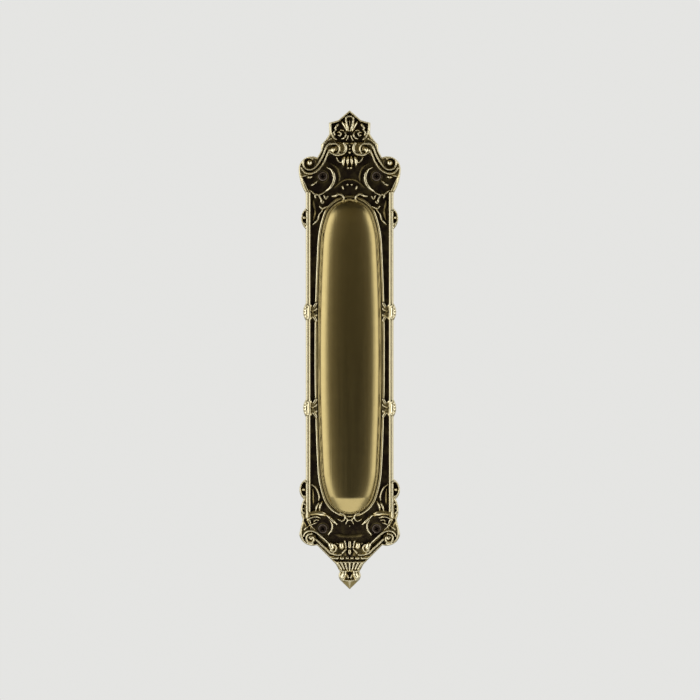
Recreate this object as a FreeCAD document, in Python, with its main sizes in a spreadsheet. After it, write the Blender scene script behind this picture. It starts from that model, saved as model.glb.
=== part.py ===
"""Cast brass door finger plate in the rococo manner, with its four fixing screws.

Frame: the plate as it hangs on a door, +Z up and the front facing -Y. Its back lies in the plane Y = 0,
and the origin is the centre of the four screws on that plane. Everything is in millimetres.

The casting is symmetrical, so its outline and its ornament are drawn for the right half only. The ornament
round the upper pair of screws is measured from the upper screw row and the rest from the lower one.
"""

import FreeCAD, Part
import math
import os

import Sketcher
from FreeCAD import Vector

# Driving dimensions: name, millimetres, meaning
SIZES = [
    # Plate
    ("screw_rows", 213.5, "upper pair of screws to lower pair, centre to centre"),
    ("screw_columns", 32.6, "left screw to right screw, centre to centre"),
    ("rail_half_width", 26.6, "centre line to the outside of a side rail"),
    ("rail_width", 2.7, "width of a side rail"),
    ("rib_width", 1.2, "foot of a rail's rib"),
    ("rail_rise", 0.9, "ribs of a side rail above the land"),
    ("shoulder_half_width", 30.9, "centre line to the widest point of the corners"),
    ("ground_height", 2.0, "back to the sunk ground of the relief"),
    ("land_height", 4.0, "back to the land of the rim"),
    # Outline above the upper screws: reach from the centre line, rise above the screw row
    ("tip_rise", 40.0, "tip of the crest"),
    ("brow_reach", 7.0, "dip between the crest's roof and its ear"),
    ("brow_rise", 33.9, "dip between the crest's roof and its ear"),
    ("ear_reach", 12.6, "ear of the crest"),
    ("ear_rise", 32.4, "ear of the crest"),
    ("crest_foot_reach", 12.4, "foot of the crest"),
    ("crest_foot_rise", 25.4, "foot of the crest"),
    ("neck_reach", 17.3, "neck under the crest"),
    ("neck_rise", 19.2, "neck under the crest"),
    ("neck_hollow", 0.26, "depth of the hollow curve from crest to neck"),
    ("neck_foot", 15.6, "foot of the neck"),
    ("notch_reach", 19.6, "notch between neck and upper volute"),
    ("notch_rise", 11.4, "notch between neck and upper volute"),
    ("horn_bulge", 3.9, "swell of the outline round the upper volute"),
    ("shoulder_rise", 3.6, "where the upper volute meets the shoulder"),
    ("shoulder_drop", 10.4, "foot of the shoulder, below the screw row"),
    ("shoulder_bulge", 0.9, "swell of the shoulder"),
    ("upper_nub_top", 19.3, "top of the leaf on the edge, below the screw row"),
    ("upper_nub_foot", 32.0, "foot of the leaf on the edge, below the screw row"),
    ("upper_nub_bulge", 3.4, "swell of the leaf on the edge"),
    # Outline round the lower screws: reach from the centre line, rise or drop from the screw row
    ("lower_nub_top", 30.2, "top of the upper leaf on the edge"),
    ("lower_nub_foot", 18.0, "foot of the upper leaf on the edge"),
    ("lower_nub_bulge", 3.25, "swell of the upper leaf on the edge"),
    ("waist_reach", 27.8, "between the two leaves on the edge"),
    ("hip_reach", 29.3, "foot of the lower leaf on the edge"),
    ("hip_rise", 6.0, "foot of the lower leaf on the edge"),
    ("hip_bulge", 1.6, "swell of the lower leaf on the edge"),
    ("corner_drop", 3.4, "where the hip meets the lower volute"),
    ("corner_bulge", 3.0, "swell of the outline round the lower volute"),
    ("corner_notch_reach", 19.6, "notch between lower volute and apron"),
    ("corner_notch_drop", 9.9, "notch between lower volute and apron"),
    ("apron_reach", 8.5, "foot of the apron"),
    ("apron_drop", 21.2, "foot of the apron"),
    ("stem_reach", 5.9, "stem of the finial"),
    ("stem_drop", 26.0, "stem of the finial"),
    ("acorn_reach", 5.7, "underside of the finial's bulge"),
    ("acorn_drop", 31.0, "underside of the finial's bulge"),
    ("acorn_bulge", 0.9, "swell of the finial"),
    ("finial_drop", 36.5, "tip of the finial"),
    # Acorn: drop below the lower screws and radius, at four levels
    ("acorn_top", 26.0, "under the collar"),
    ("acorn_top_radius", 3.1, "under the collar"),
    ("acorn_middle", 28.8, "widest point"),
    ("acorn_middle_radius", 4.4, "widest point"),
    ("acorn_foot", 31.0, "where it narrows"),
    ("acorn_foot_radius", 3.8, "where it narrows"),
    ("acorn_tip", 35.9, "its tip"),
    ("acorn_tip_radius", 0.9, "its tip"),
    # Sunk field inside the rim
    ("field_top", 11.2, "top of the field above the upper screws"),
    ("field_top_reach", 12.2, "corner of that top"),
    ("field_shoulder_reach", 22.6, "field under the upper volute"),
    ("field_shoulder_rise", 0.6, "field under the upper volute"),
    ("rim_width", 1.9, "rim beside the shoulders and hips"),
    ("field_hip_rise", 1.6, "corner of the field above the lower volute"),
    ("field_foot", 6.8, "bottom of the field below the lower screws"),
    ("field_foot_reach", 13.0, "corner of that bottom"),
    ("crest_rim", 2.4, "rim round the sunk field of the crest"),
    ("crest_field_top", 36.6, "top of the crest's field above the upper screws"),
    ("crest_field_brow", 6.2, "corner of that top"),
    ("crest_field_foot", 21.6, "bottom of the crest's field above the upper screws"),
    ("crest_field_reach", 8.6, "corner of that bottom"),
    # Cushion that the hand pushes on
    ("cushion_half_width", 18.2, "centre line to the side of the cushion"),
    ("cushion_half_length", 94.4, "middle of the cushion to its end"),
    ("cushion_drop", 2.4, "middle of the cushion below the middle of the screws"),
    ("cushion_height", 7.8, "back to the crown of the cushion"),
    ("cushion_start", 0.8, "back to where the cushion's side begins, inside the plate"),
    ("cushion_roll", 6.8, "radius of its rounded edge"),
    ("cushion_side_radius", 1300.0, "gentle bow of its sides"),
    ("cushion_shoulder_radius", 60.0, "curve from side to end"),
    ("cushion_end_radius", 14.0, "round of its ends"),
    ("hollow_depth", 3.9, "hollow in the back behind the cushion"),
    ("hollow_margin", 3.6, "side of the cushion to the side of the hollow"),
    ("bead_gap", 0.5, "groove between the cushion and the bead round it"),
    ("bead_width", 2.3, "width of the bead round the cushion"),
    ("bead_rise", 2.2, "bead above the ground"),
    # Ribbon ties on the rails
    ("upper_tie", 24.6, "middle of the plate up to the upper ties"),
    ("lower_tie", 33.6, "middle of the plate down to the lower ties"),
    ("tie_radius", 6.4, "outline of a tie's lug"),
    ("tie_overhang", 1.7, "tie beyond the outside of the rail"),
    ("lug_step", 0.3, "top of a tie's lug below the land"),
    ("pleat_pinch", 0.5, "radius of a pleat at the pinch"),
    ("pleat_end", 1.1, "radius of a pleat at its wide end"),
    # Ornament
    ("band_width", 1.7, "foot of a scroll's ridge"),
    ("band_rise", 1.6, "scroll's ridge above the land"),
    ("stroke_width", 1.5, "foot of a small ridge on the ground"),
    ("stroke_rise", 2.3, "small ridge above the ground"),
    ("leaf_rise", 2.5, "spine of a leaf above the ground"),
    ("root_depth", 1.0, "ornament runs this far into the metal under it"),
    # Fixing screws
    ("screw_length", 19.0, "overall length of a screw"),
    ("screw_shank", 2.6, "diameter of its shank"),
    ("screw_head", 5.4, "diameter of its countersunk head"),
    ("screw_point", 1.8, "length of its point"),
    ("head_edge", 0.25, "straight edge of its head"),
    ("slot_span", 2.6, "span of its cross recess"),
    ("slot_width", 0.7, "width of its cross recess"),
    ("slot_depth", 0.9, "depth of its cross recess"),
    ("hole_clearance", 0.25, "hole wall to shank"),
    ("seat_clearance", 0.04, "countersink to head"),
    ("sink_overrun", 0.3, "countersinking tool above the ground"),
]


class Size:
    """A length known both as a number and as an expression on the sheet."""

    def __init__(self, value, text):
        self.value = value
        self.text = text

    @staticmethod
    def of(other):
        if isinstance(other, Size):
            return other
        return Size(float(other), repr(float(other)))

    def __add__(self, other):
        other = Size.of(other)
        return Size(self.value + other.value, f"({self.text} + {other.text})")

    def __sub__(self, other):
        other = Size.of(other)
        return Size(self.value - other.value, f"({self.text} - {other.text})")

    def __mul__(self, factor):
        return Size(self.value * factor, f"({self.text} * {factor!r})")

    def __truediv__(self, factor):
        return Size(self.value / factor, f"({self.text} / {factor!r})")

    def __neg__(self):
        return Size(-self.value, f"(-1 * {self.text})")

    def squared(self):
        return Size(self.value ** 2, f"({self.text} * {self.text})")

    def over(self, other):
        return Size(self.value / other.value, f"({self.text} / {other.text})")


doc = FreeCAD.newDocument("finger_plate")


def fill_sheet():
    """The sheet of driving dimensions, and each of them by name."""
    sheet = doc.addObject("Spreadsheet::Sheet", "dims")
    for row, (name, length, meaning) in enumerate(SIZES, start=1):
        sheet.set(f"A{row}", name)
        sheet.set(f"B{row}", repr(length))
        sheet.set(f"C{row}", meaning)
        sheet.setAlias(f"B{row}", name)
    doc.recompute()
    return {name: Size(float(sheet.get(name)), f"dims.{name}") for name, length, meaning in SIZES}


dims = fill_sheet()
upper_row = dims["screw_rows"] / 2.0
lower_row = -upper_row
screw_reach = dims["screw_columns"] / 2.0
axis = Size.of(0.0)
# Shares of the ornament: turn of one facet in degrees, top of a ridge against its foot
facet_turn = 33.0
crest_share = 0.4


# Building blocks

def bind(thing, **sizes):
    """Ties properties of a document object to the sheet."""
    for prop, size in sizes.items():
        thing.setExpression(prop, Size.of(size).text)


def placed(thing, x=None, y=None, z=None, rotation=None):
    """Ties an object's place to the sheet."""
    if rotation is not None:
        thing.Placement = FreeCAD.Placement(Vector(), rotation)
    for letter, size in (("x", x), ("y", y), ("z", z)):
        if size is not None:
            thing.setExpression(f".Placement.Base.{letter}", Size.of(size).text)
    return thing


def body_plane(body, role):
    for feature in body.Origin.OriginFeatures:
        if feature.Role == role:
            return feature
    raise RuntimeError(f"{body.Label} has no {role}")


def arc_radius(start, end, bulge):
    """Radius of the arc between two places on the sheet that swells from their chord by the bulge."""
    chord_square = (end[0] - start[0]).squared() + (end[1] - start[1]).squared()
    return (chord_square / 4.0 + bulge.squared()).over(bulge * 2.0)


def arc_between(start, end, bulge, side):
    """Circle arc from start to end that swells by the bulge, with its centre left (side 1) or right (side -1)
    of the way."""
    chord = end - start
    left = Vector(-chord.y, chord.x, 0).normalize()
    through = Part.Arc(start, (start + end) / 2.0 - left * (bulge * side), end).toShape().Curve
    circle = Part.Circle(through.Center, Vector(0, 0, 1), through.Radius)
    angles = [math.atan2(point.y - circle.Center.y, point.x - circle.Center.x) for point in (start, end)]
    if side < 0:
        angles.reverse()
    return Part.ArcOfCircle(circle, angles[0], angles[1])


def pin(sketch, geometry, position, x, z):
    """Fixes one point of a sketch at a place given on the sheet."""
    for kind, size in (("DistanceX", x), ("DistanceY", z)):
        if size.value == 0.0:
            line = -2 if kind == "DistanceX" else -1
            sketch.addConstraint(Sketcher.Constraint("PointOnObject", geometry, position, line))
            continue
        ends = (-1, 1, geometry, position)
        if size.value < 0.0:
            ends = (geometry, position, -1, 1)
            size = -size
        index = sketch.addConstraint(Sketcher.Constraint(kind, *ends, size.value))
        sketch.setExpression(f"Constraints[{index}]", size.text)


def outline_sketch(body, name, corners, role="XZ_Plane"):
    """Closed outline in one of the body's planes. A corner is (x, z) or (x, z, bulge, side): those two shape
    the edge that leaves it into an arc."""
    sketch = body.newObject("Sketcher::SketchObject", name)
    sketch.AttachmentSupport = [(body_plane(body, role), "")]
    sketch.MapMode = "FlatFace"
    starts = []
    ends = []
    for index, corner in enumerate(corners):
        following = corners[(index + 1) % len(corners)]
        start = Vector(corner[0].value, corner[1].value, 0)
        end = Vector(following[0].value, following[1].value, 0)
        if len(corner) == 2:
            edge = sketch.addGeometry(Part.LineSegment(start, end))
            starts.append((edge, 1))
            ends.append((edge, 2))
            continue
        bulge, side = corner[2:]
        edge = sketch.addGeometry(arc_between(start, end, bulge.value, side))
        starts.append((edge, 1 if side > 0 else 2))
        ends.append((edge, 2 if side > 0 else 1))
        radius = arc_radius(corner, following, bulge)
        index = sketch.addConstraint(Sketcher.Constraint("Radius", edge, radius.value))
        sketch.setExpression(f"Constraints[{index}]", radius.text)
    for index, corner in enumerate(corners):
        sketch.addConstraint(Sketcher.Constraint("Coincident", *ends[index - 1], *starts[index]))
        pin(sketch, *starts[index], corner[0], corner[1])
    return sketch


def solid_feature(name, shape):
    """A shape made by code, as an object of the document."""
    feature = doc.addObject("Part::Feature", name)
    feature.Shape = shape
    return feature


def oval(margin, height):
    """Plan of the cushion, grown by a margin, at a height above the back: an oval drawn from three centres in
    each quarter, with one radius at the sides, one at the shoulders and one at the ends."""
    half_width = dims["cushion_half_width"].value
    half_length = dims["cushion_half_length"].value
    side, shoulder, end = (dims[f"cushion_{name}_radius"].value for name in ("side", "shoulder", "end"))
    side_centre = Vector(half_width - side, 0, 0)
    end_centre = Vector(0, 0, half_length - end)
    apart = end_centre - side_centre
    along = ((side - shoulder) ** 2 - (shoulder - end) ** 2 + apart.Length ** 2) / (2.0 * apart.Length)
    aside = math.sqrt((side - shoulder) ** 2 - along ** 2)
    unit = Vector(apart).normalize()
    shoulder_centre = side_centre + unit * along + Vector(unit.z, 0, -unit.x) * aside

    def leaving(centre, direction, radius):
        return centre + Vector(direction).normalize() * (radius + margin)

    side_end = leaving(side_centre, shoulder_centre - side_centre, side)
    end_start = leaving(end_centre, end_centre - shoulder_centre, end)
    between = leaving(shoulder_centre, side_end + end_start - shoulder_centre * 2.0, shoulder)
    side_middle = Vector(half_width + margin, 0, 0)
    end_middle = Vector(0, 0, half_length + margin)
    quarter = [side_middle, side_end, between, end_start, end_middle]
    shift = Vector(0, -height, -dims["cushion_drop"].value)

    def spot(index, across, up):
        return Vector(quarter[index].x * across, 0, quarter[index].z * up) + shift

    edges = [
        Part.Arc(spot(1, 1, -1), spot(0, 1, 1), spot(1, 1, 1)),
        Part.Arc(spot(1, 1, 1), spot(2, 1, 1), spot(3, 1, 1)),
        Part.Arc(spot(3, 1, 1), spot(4, 1, 1), spot(3, -1, 1)),
        Part.Arc(spot(3, -1, 1), spot(2, -1, 1), spot(1, -1, 1)),
        Part.Arc(spot(1, -1, 1), spot(0, -1, 1), spot(1, -1, -1)),
        Part.Arc(spot(1, -1, -1), spot(2, -1, -1), spot(3, -1, -1)),
        Part.Arc(spot(3, -1, -1), spot(4, 1, -1), spot(3, 1, -1)),
        Part.Arc(spot(3, 1, -1), spot(2, 1, -1), spot(1, 1, -1)),
    ]
    return Part.Wire([edge.toShape() for edge in edges])


def faceted(name, rings):
    """Solid with flat facets between rings of points, capped at both ends."""
    faces = []
    for ring in (rings[0], rings[-1]):
        faces.append(Part.Face(Part.makePolygon(ring + ring[:1])))
    for low, high in zip(rings, rings[1:]):
        for index in range(len(low)):
            corners = [low[index - 1], low[index], high[index], high[index - 1]]
            faces.append(Part.Face(Part.makePolygon(corners + corners[:1])))
    return solid_feature(name, Part.Solid(Part.Shell(faces)))


def turned(direction, angle):
    """A direction in the XZ plane, turned to the left."""
    cosine = math.cos(angle)
    sine = math.sin(angle)
    return Vector(direction.x * cosine - direction.z * sine, 0, direction.x * sine + direction.z * cosine)


def arc_stations(start, heading, end):
    """Points and headings along the one arc that leaves start along the heading and reaches end, without
    start itself."""
    chord = end - start
    aside = heading.x * chord.z - heading.z * chord.x
    lean = math.atan2(aside, heading.dot(chord))
    steps = max(1, math.ceil(abs(2.0 * lean) / math.radians(facet_turn)))
    stations = []
    for step in range(1, steps):
        half = lean * step / steps
        stations.append((start + turned(heading, half) * (chord.Length * math.sin(half) / math.sin(lean)),
                         turned(heading, 2.0 * half)))
    return stations + [(end, turned(heading, 2.0 * lean))]


def curl(start, heading, side, radius, shrink, half_turns):
    """Stations of half circles of shrinking radius that wind into a volute, to the left or right."""
    stations = []
    for half_turn in range(half_turns):
        end = start + turned(heading, side * math.pi / 2.0) * (2.0 * radius)
        stations.extend(arc_stations(start, heading, end))
        start, heading = stations[-1]
        radius = radius * shrink
    return stations


def flowing_path(points, degrees, datum, curl_before=None, curl_after=None):
    """Stations of tangent arcs through hand-chosen points (reach, rise), leaving the first one at that angle.
    A curl (side, radius, shrink, half turns) may wind up either end."""
    places = [Vector(reach, 0, rise + datum.value) for reach, rise in points]
    heading = turned(Vector(1, 0, 0), math.radians(degrees))
    stations = []
    if curl_before:
        for place, backward in reversed(curl(places[0], -heading, *curl_before)):
            stations.append((place, -backward))
    stations.append((places[0], heading))
    for end in places[1:]:
        stations.extend(arc_stations(*stations[-1], end))
    if curl_after:
        stations.extend(curl(*stations[-1], *curl_after))
    return stations


def ridge_section(at, heading, width, ground, rise):
    """Corners of the trapezoid across a ridge: sloping sides and a narrow top."""
    across = turned(heading, math.pi / 2.0)
    bottom = ground - dims["root_depth"].value
    crest = width * crest_share
    corners = []
    for span, height in ((-width, bottom), (-crest, ground + rise), (crest, ground + rise), (width, bottom)):
        corners.append(at + across * (span / 2.0) + Vector(0, -height, 0))
    return corners


def ridge(name, stations, width, ground, rise):
    """Ridge along a path, cut in facets as a carver's chisel leaves them."""
    return faceted(name, [ridge_section(at, heading, width, ground, rise) for at, heading in stations])


def ring_ridge(name, wire, width, ground, rise):
    """Smooth ridge round a closed wire in the XZ plane."""
    first = wire.OrderedEdges[0]
    start = first.valueAt(first.FirstParameter)
    corners = ridge_section(start, first.tangentAt(first.FirstParameter), width, ground, rise)
    sweep = Part.BRepOffsetAPI.MakePipeShell(wire)
    sweep.setBiNormalMode(Vector(0, 1, 0))
    sweep.add(Part.Wire(Part.makePolygon(corners + corners[:1])), False, False)
    sweep.build()
    sweep.makeSolid()
    return solid_feature(name, sweep.shape())


# Plate

def right_outline():
    """Right half of the outline, from the tip of the crest down to the tip of the finial."""
    convex = -1
    hollow = 1
    rail = dims["rail_half_width"]
    shoulder = dims["shoulder_half_width"]
    return [
        (axis, upper_row + dims["tip_rise"]),
        (dims["brow_reach"], upper_row + dims["brow_rise"]),
        (dims["ear_reach"], upper_row + dims["ear_rise"]),
        (dims["crest_foot_reach"], upper_row + dims["crest_foot_rise"], dims["neck_hollow"], hollow),
        (dims["neck_reach"], upper_row + dims["neck_rise"]),
        (dims["neck_reach"], upper_row + dims["neck_foot"]),
        (dims["notch_reach"], upper_row + dims["notch_rise"], dims["horn_bulge"], convex),
        (shoulder, upper_row + dims["shoulder_rise"], dims["shoulder_bulge"], convex),
        (rail, upper_row - dims["shoulder_drop"]),
        (rail, upper_row - dims["upper_nub_top"], dims["upper_nub_bulge"], convex),
        (rail, upper_row - dims["upper_nub_foot"]),
        (rail, lower_row + dims["lower_nub_top"], dims["lower_nub_bulge"], convex),
        (dims["waist_reach"], lower_row + dims["lower_nub_foot"], dims["hip_bulge"], convex),
        (dims["hip_reach"], lower_row + dims["hip_rise"]),
        (shoulder, lower_row - dims["corner_drop"], dims["corner_bulge"], convex),
        (dims["corner_notch_reach"], lower_row - dims["corner_notch_drop"]),
        (dims["apron_reach"], lower_row - dims["apron_drop"]),
        (dims["stem_reach"], lower_row - dims["stem_drop"], dims["acorn_bulge"], convex),
        (dims["acorn_reach"], lower_row - dims["acorn_drop"]),
        (axis, lower_row - dims["finial_drop"]),
    ]


def right_field():
    """Right half of the sunk field's edge, from its foot up to its top."""
    rail_inside = dims["rail_half_width"] - dims["rail_width"]
    rim_inside = dims["shoulder_half_width"] - dims["rim_width"]
    return [
        (axis, lower_row - dims["field_foot"]),
        (dims["field_foot_reach"], lower_row - dims["field_foot"]),
        (dims["field_shoulder_reach"], lower_row + dims["field_hip_rise"]),
        (rail_inside, lower_row + dims["hip_rise"]),
        (rail_inside, upper_row - dims["shoulder_drop"]),
        (rim_inside, upper_row - dims["field_shoulder_rise"]),
        (dims["field_shoulder_reach"], upper_row + dims["field_shoulder_rise"]),
        (dims["field_top_reach"], upper_row + dims["field_top"]),
        (axis, upper_row + dims["field_top"]),
    ]


def right_crest_field():
    """Right half of the crest's own sunk field, from its foot up to its top."""
    rim = dims["crest_rim"]
    return [
        (axis, upper_row + dims["crest_field_foot"]),
        (dims["crest_field_reach"], upper_row + dims["crest_field_foot"]),
        (dims["crest_foot_reach"] - rim, upper_row + dims["crest_foot_rise"]),
        (dims["ear_reach"] - rim, upper_row + dims["ear_rise"] - rim),
        (dims["crest_field_brow"], upper_row + dims["brow_rise"] - rim),
        (axis, upper_row + dims["crest_field_top"]),
    ]


def make_blank():
    """Plate with its sunk field, both halves."""
    body = doc.addObject("PartDesign::Body", "blank")
    floor = body.newObject("PartDesign::Pad", "floor")
    floor.Profile = outline_sketch(body, "floor_outline", right_outline())
    bind(floor, Length=dims["ground_height"])
    doc.recompute()
    rim = body.newObject("PartDesign::Pad", "rim")
    rim.Profile = outline_sketch(body, "rim_outline", right_outline() + right_field() + right_crest_field())
    bind(rim, Length=dims["land_height"])
    doc.recompute()
    both = body.newObject("PartDesign::Mirrored", "both_halves")
    both.Originals = [floor, rim]
    both.MirrorPlane = (body_plane(body, "YZ_Plane"), [""])
    body.Tip = both
    doc.recompute()
    return body


# Cushion

def oval_block(name, margin, start, length):
    """Oval extruded forward from a height above the back."""
    plan = solid_feature(f"{name}_plan", Part.Face(oval(margin, start.value)))
    block = doc.addObject("Part::Extrusion", name)
    block.Base = plan
    block.DirMode = "Custom"
    block.Dir = Vector(0, -1, 0)
    block.Solid = True
    bind(block, LengthFwd=length)
    doc.recompute()
    return block


def top_edges(shape):
    """Numbers of the edges round the front face of an extruded oval."""
    front = shape.BoundBox.YMin
    return [index for index, edge in enumerate(shape.Edges, start=1) if edge.BoundBox.YMax < front + 0.01]


def make_cushion():
    """Smooth pillow with a broad round edge."""
    start = dims["cushion_start"]
    block = oval_block("cushion_block", 0.0, start, dims["cushion_height"] - start)
    roll = dims["cushion_roll"].value
    cushion = doc.addObject("Part::Fillet", "cushion")
    cushion.Base = block
    cushion.Edges = [(index, roll, roll) for index in top_edges(block.Shape)]
    doc.recompute()
    return cushion


def make_bead():
    """Bead that frames the cushion, with a groove between the two."""
    margin = dims["bead_gap"].value + dims["bead_width"].value / 2.0
    return ring_ridge("bead", oval(margin, 0.0), dims["bead_width"].value, dims["ground_height"].value,
                      dims["bead_rise"].value)


def make_hollow():
    """Hollow in the back behind the cushion."""
    return oval_block("hollow", -dims["hollow_margin"].value, axis, dims["hollow_depth"])


# Rails and ties

along_depth = FreeCAD.Rotation(Vector(1, 0, 0), 90.0)


def make_rails():
    """Two ribs along the land of the right rail."""
    width = dims["rail_width"].value
    outside = dims["rail_half_width"].value
    top = upper_row.value - dims["shoulder_drop"].value
    foot = lower_row.value + dims["hip_rise"].value
    ribs = []
    quarter = 0.26
    for name, share in (("outer_rib", quarter), ("inner_rib", 1.0 - quarter)):
        reach = outside - width * share
        up = Vector(0, 0, 1)
        stations = [(Vector(reach, 0, foot), up), (Vector(reach, 0, top), up)]
        ribs.append(ridge(name, stations, dims["rib_width"].value, dims["land_height"].value,
                          dims["rail_rise"].value))
    return ribs


def make_tie(name, middle):
    """Ribbon tie: a lug behind the rail and a fan of pleats each side of the pinch."""
    pleat_turns = (-44.0, 0.0, 44.0)
    lug = doc.addObject("Part::Cylinder", f"{name}_lug")
    bind(lug, Radius=dims["tie_radius"], Height=dims["land_height"] - dims["lug_step"])
    lug_reach = dims["rail_half_width"] + dims["tie_overhang"] - dims["tie_radius"]
    placed(lug, lug_reach, axis, middle, along_depth)
    pleats = [lug]
    pinch = dims["rail_half_width"].value - dims["rail_width"].value
    narrow = dims["pleat_pinch"].value
    length = dims["tie_overhang"].value + dims["rail_width"].value
    for side, start in (("out", 0.0), ("in", 180.0)):
        for index, turn in enumerate(pleat_turns):
            angle = math.radians(start + turn)
            end = (pinch + length * math.cos(angle), length * math.sin(angle), dims["pleat_end"].value)
            pleats.append(gadroon(f"{name}_pleat_{side}_{index}", middle, [(pinch, 0.0, narrow), end],
                                  dims["land_height"].value))
    return pleats


# Ornament

def leaf(name, datum, root, tip, width, ground, rise):
    """Pointed leaf with a spine: a kite in plan, highest where it is widest."""
    widest = 0.42
    deep = ground - dims["root_depth"].value
    spread = (rise + dims["root_depth"].value) / rise
    start = Vector(root[0], 0, root[1] + datum.value)
    end = Vector(tip[0], 0, tip[1] + datum.value)
    along = end - start
    across = Vector(-along.z, 0, along.x).normalize() * (width * spread / 2.0)
    belly = start + along * widest
    down = Vector(0, -deep, 0)
    rim = [belly + (start - belly) * spread + down, belly + across + down,
           belly + (end - belly) * spread + down, belly - across + down]
    spine = belly + Vector(0, -(ground + rise), 0)
    faces = [Part.Face(Part.makePolygon(rim + rim[:1]))]
    for first, second in zip(rim, rim[1:] + rim[:1]):
        faces.append(Part.Face(Part.makePolygon([first, second, spine, first])))
    return solid_feature(name, Part.Solid(Part.Shell(faces)))


def ball(name, datum, reach, rise, radius, ground):
    """Half ball cut in facets, such as the eye of a volute."""
    sides = 8
    bands = (0.0, 37.0, 70.0)
    levels = [(radius, ground - dims["root_depth"].value)]
    for degrees in bands:
        angle = math.radians(degrees)
        levels.append((radius * math.cos(angle), ground + radius * math.sin(angle)))
    rings = []
    for reach_out, height in levels:
        ring = []
        for side in range(sides):
            spoke = turned(Vector(reach_out, 0, 0), 2.0 * math.pi * side / sides)
            ring.append(spoke + Vector(reach, -height, datum.value + rise))
        rings.append(ring)
    return faceted(name, rings)


def gadroon(name, datum, places, ground, facets=3):
    """Round rib cut in facets, through places (reach, rise, radius) in one line."""
    along = Vector(places[-1][0] - places[0][0], 0, places[-1][1] - places[0][1]).normalize()
    across = turned(along, math.pi / 2.0)
    deep = Vector(0, dims["root_depth"].value - ground, 0)
    rings = []
    for reach, rise, radius in places:
        middle = Vector(reach, 0, rise + datum.value)
        ring = [middle + across * radius + deep]
        for facet in range(facets + 1):
            angle = math.pi * facet / facets
            up = Vector(0, -(ground + radius * math.sin(angle)), 0)
            ring.append(middle + across * (radius * math.cos(angle)) + up)
        ring.append(middle - across * radius + deep)
        rings.append(ring)
    return faceted(name, rings)


left = 1
right = -1


def make_scrolls():
    """Double ridges of the S scrolls, with their volutes and eyes."""
    land = dims["land_height"].value
    width = dims["band_width"].value
    rise = dims["band_rise"].value
    upper_top = [(9.9, 19.4), (14.2, 17.2), (15.4, 13.4), (17.4, 9.8), (20.6, 5.0), (24.4, 3.6)]
    upper_under = [(12.5, 15.4), (14.9, 8.9), (19.4, 3.2), (24.8, 1.5)]
    lower_top = [(12.8, -9.4), (15.8, -8.2), (19.6, -4.6), (21.8, -2.0), (24.2, -0.9)]
    lower_under = [(21.2, -7.6), (17.8, -11.3), (13.6, -14.9), (9.4, -15.9)]
    upper_path = flowing_path(upper_top, 0.0, upper_row, (left, 2.9, 0.68, 2), (left, 3.6, 0.6, 1))
    lower_path = flowing_path(lower_top, 20.0, lower_row, (left, 2.6, 0.65, 2), (right, 4.5, 0.6, 2))
    return [
        ridge("upper_scroll_top", upper_path, width, land, rise),
        ridge("upper_scroll_under", flowing_path(upper_under, -80.0, upper_row, None, (left, 4.7, 0.6, 1)),
              width, land, rise * 0.9),
        ridge("lower_scroll_top", lower_path, width, land, rise * 1.05),
        ridge("lower_scroll_under", flowing_path(lower_under, -130.0, lower_row), width, land, rise * 0.85),
        ball("upper_inner_eye", upper_row, 9.9, 15.6, 1.5, land),
        ball("upper_outer_eye", upper_row, 24.2, 7.6, 2.2, land),
        ball("lower_inner_eye", lower_row, 11.4, -11.6, 1.5, land),
        ball("lower_outer_eye", lower_row, 24.2, -6.2, 1.9, land),
    ]


def make_crest():
    """Rim, curls and side leaves of the crest, and the knot and bar under it."""
    ground = dims["ground_height"].value
    land = dims["land_height"].value
    width = dims["stroke_width"].value
    rise = dims["band_rise"].value
    roof = [(0.9, 37.6), (6.4, 32.7)]
    ear = [(6.8, 32.6), (11.3, 31.3)]
    side = [(11.4, 30.8), (11.0, 27.0), (9.2, 23.4)]
    curl_stem = [(2.2, 22.4), (3.6, 26.0)]
    neck = [(12.8, 24.4), (15.8, 19.8), (16.2, 16.6)]
    upright = [(3.0, 18.8), (4.0, 16.2), (2.8, 13.8)]
    bar = [(0.0, 12.8), (8.8, 13.2)]
    pieces = [
        ridge("crest_roof", flowing_path(roof, -42.0, upper_row), width, land, rise * 0.5),
        ridge("crest_ear", flowing_path(ear, -15.0, upper_row), width, land, rise * 0.45),
        ridge("crest_side", flowing_path(side, -85.0, upper_row), width, land, rise * 0.55),
        ridge("crest_curl", flowing_path(curl_stem, 75.0, upper_row, None, (right, 2.3, 0.6, 2)),
              width * 0.8, ground, dims["stroke_rise"].value),
        ridge("crest_neck", flowing_path(neck, -62.0, upper_row), width, land, rise * 0.6),
        ridge("crest_upright", flowing_path(upright, -45.0, upper_row), width, land, rise * 0.95),
        ridge("crest_bar", flowing_path(bar, 0.0, upper_row), width, land, rise * 0.7),
    ]
    for index, (tip, radius) in enumerate((((3.3, 34.0), 1.15), ((6.6, 31.3), 1.0))):
        places = [(0.4, 26.6, 0.45), (*tip, radius)]
        pieces.append(gadroon(f"crest_lobe_{index}", upper_row, places, ground))
    return pieces


def make_centre_line():
    """What stands on the centre line, in the crest and in both fields."""
    ground = dims["ground_height"].value
    land = dims["land_height"].value
    return [
        gadroon("crest_lobe_middle", upper_row, [(0.0, 26.0, 0.5), (0.0, 35.4, 1.25)], ground),
        ball("crest_knot", upper_row, 0.0, 15.8, 1.8, land),
        ball("crest_drop", upper_row, 0.0, 5.2, 1.0, ground),
        gadroon("moulding_flute", lower_row, [(0.0, -14.6, 0.6), (0.0, -7.4, 1.1)], land),
        leaf("fleur_drop", lower_row, (0.0, 7.6), (0.0, 2.2), 2.2, ground, dims["leaf_rise"].value),
    ]


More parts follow.
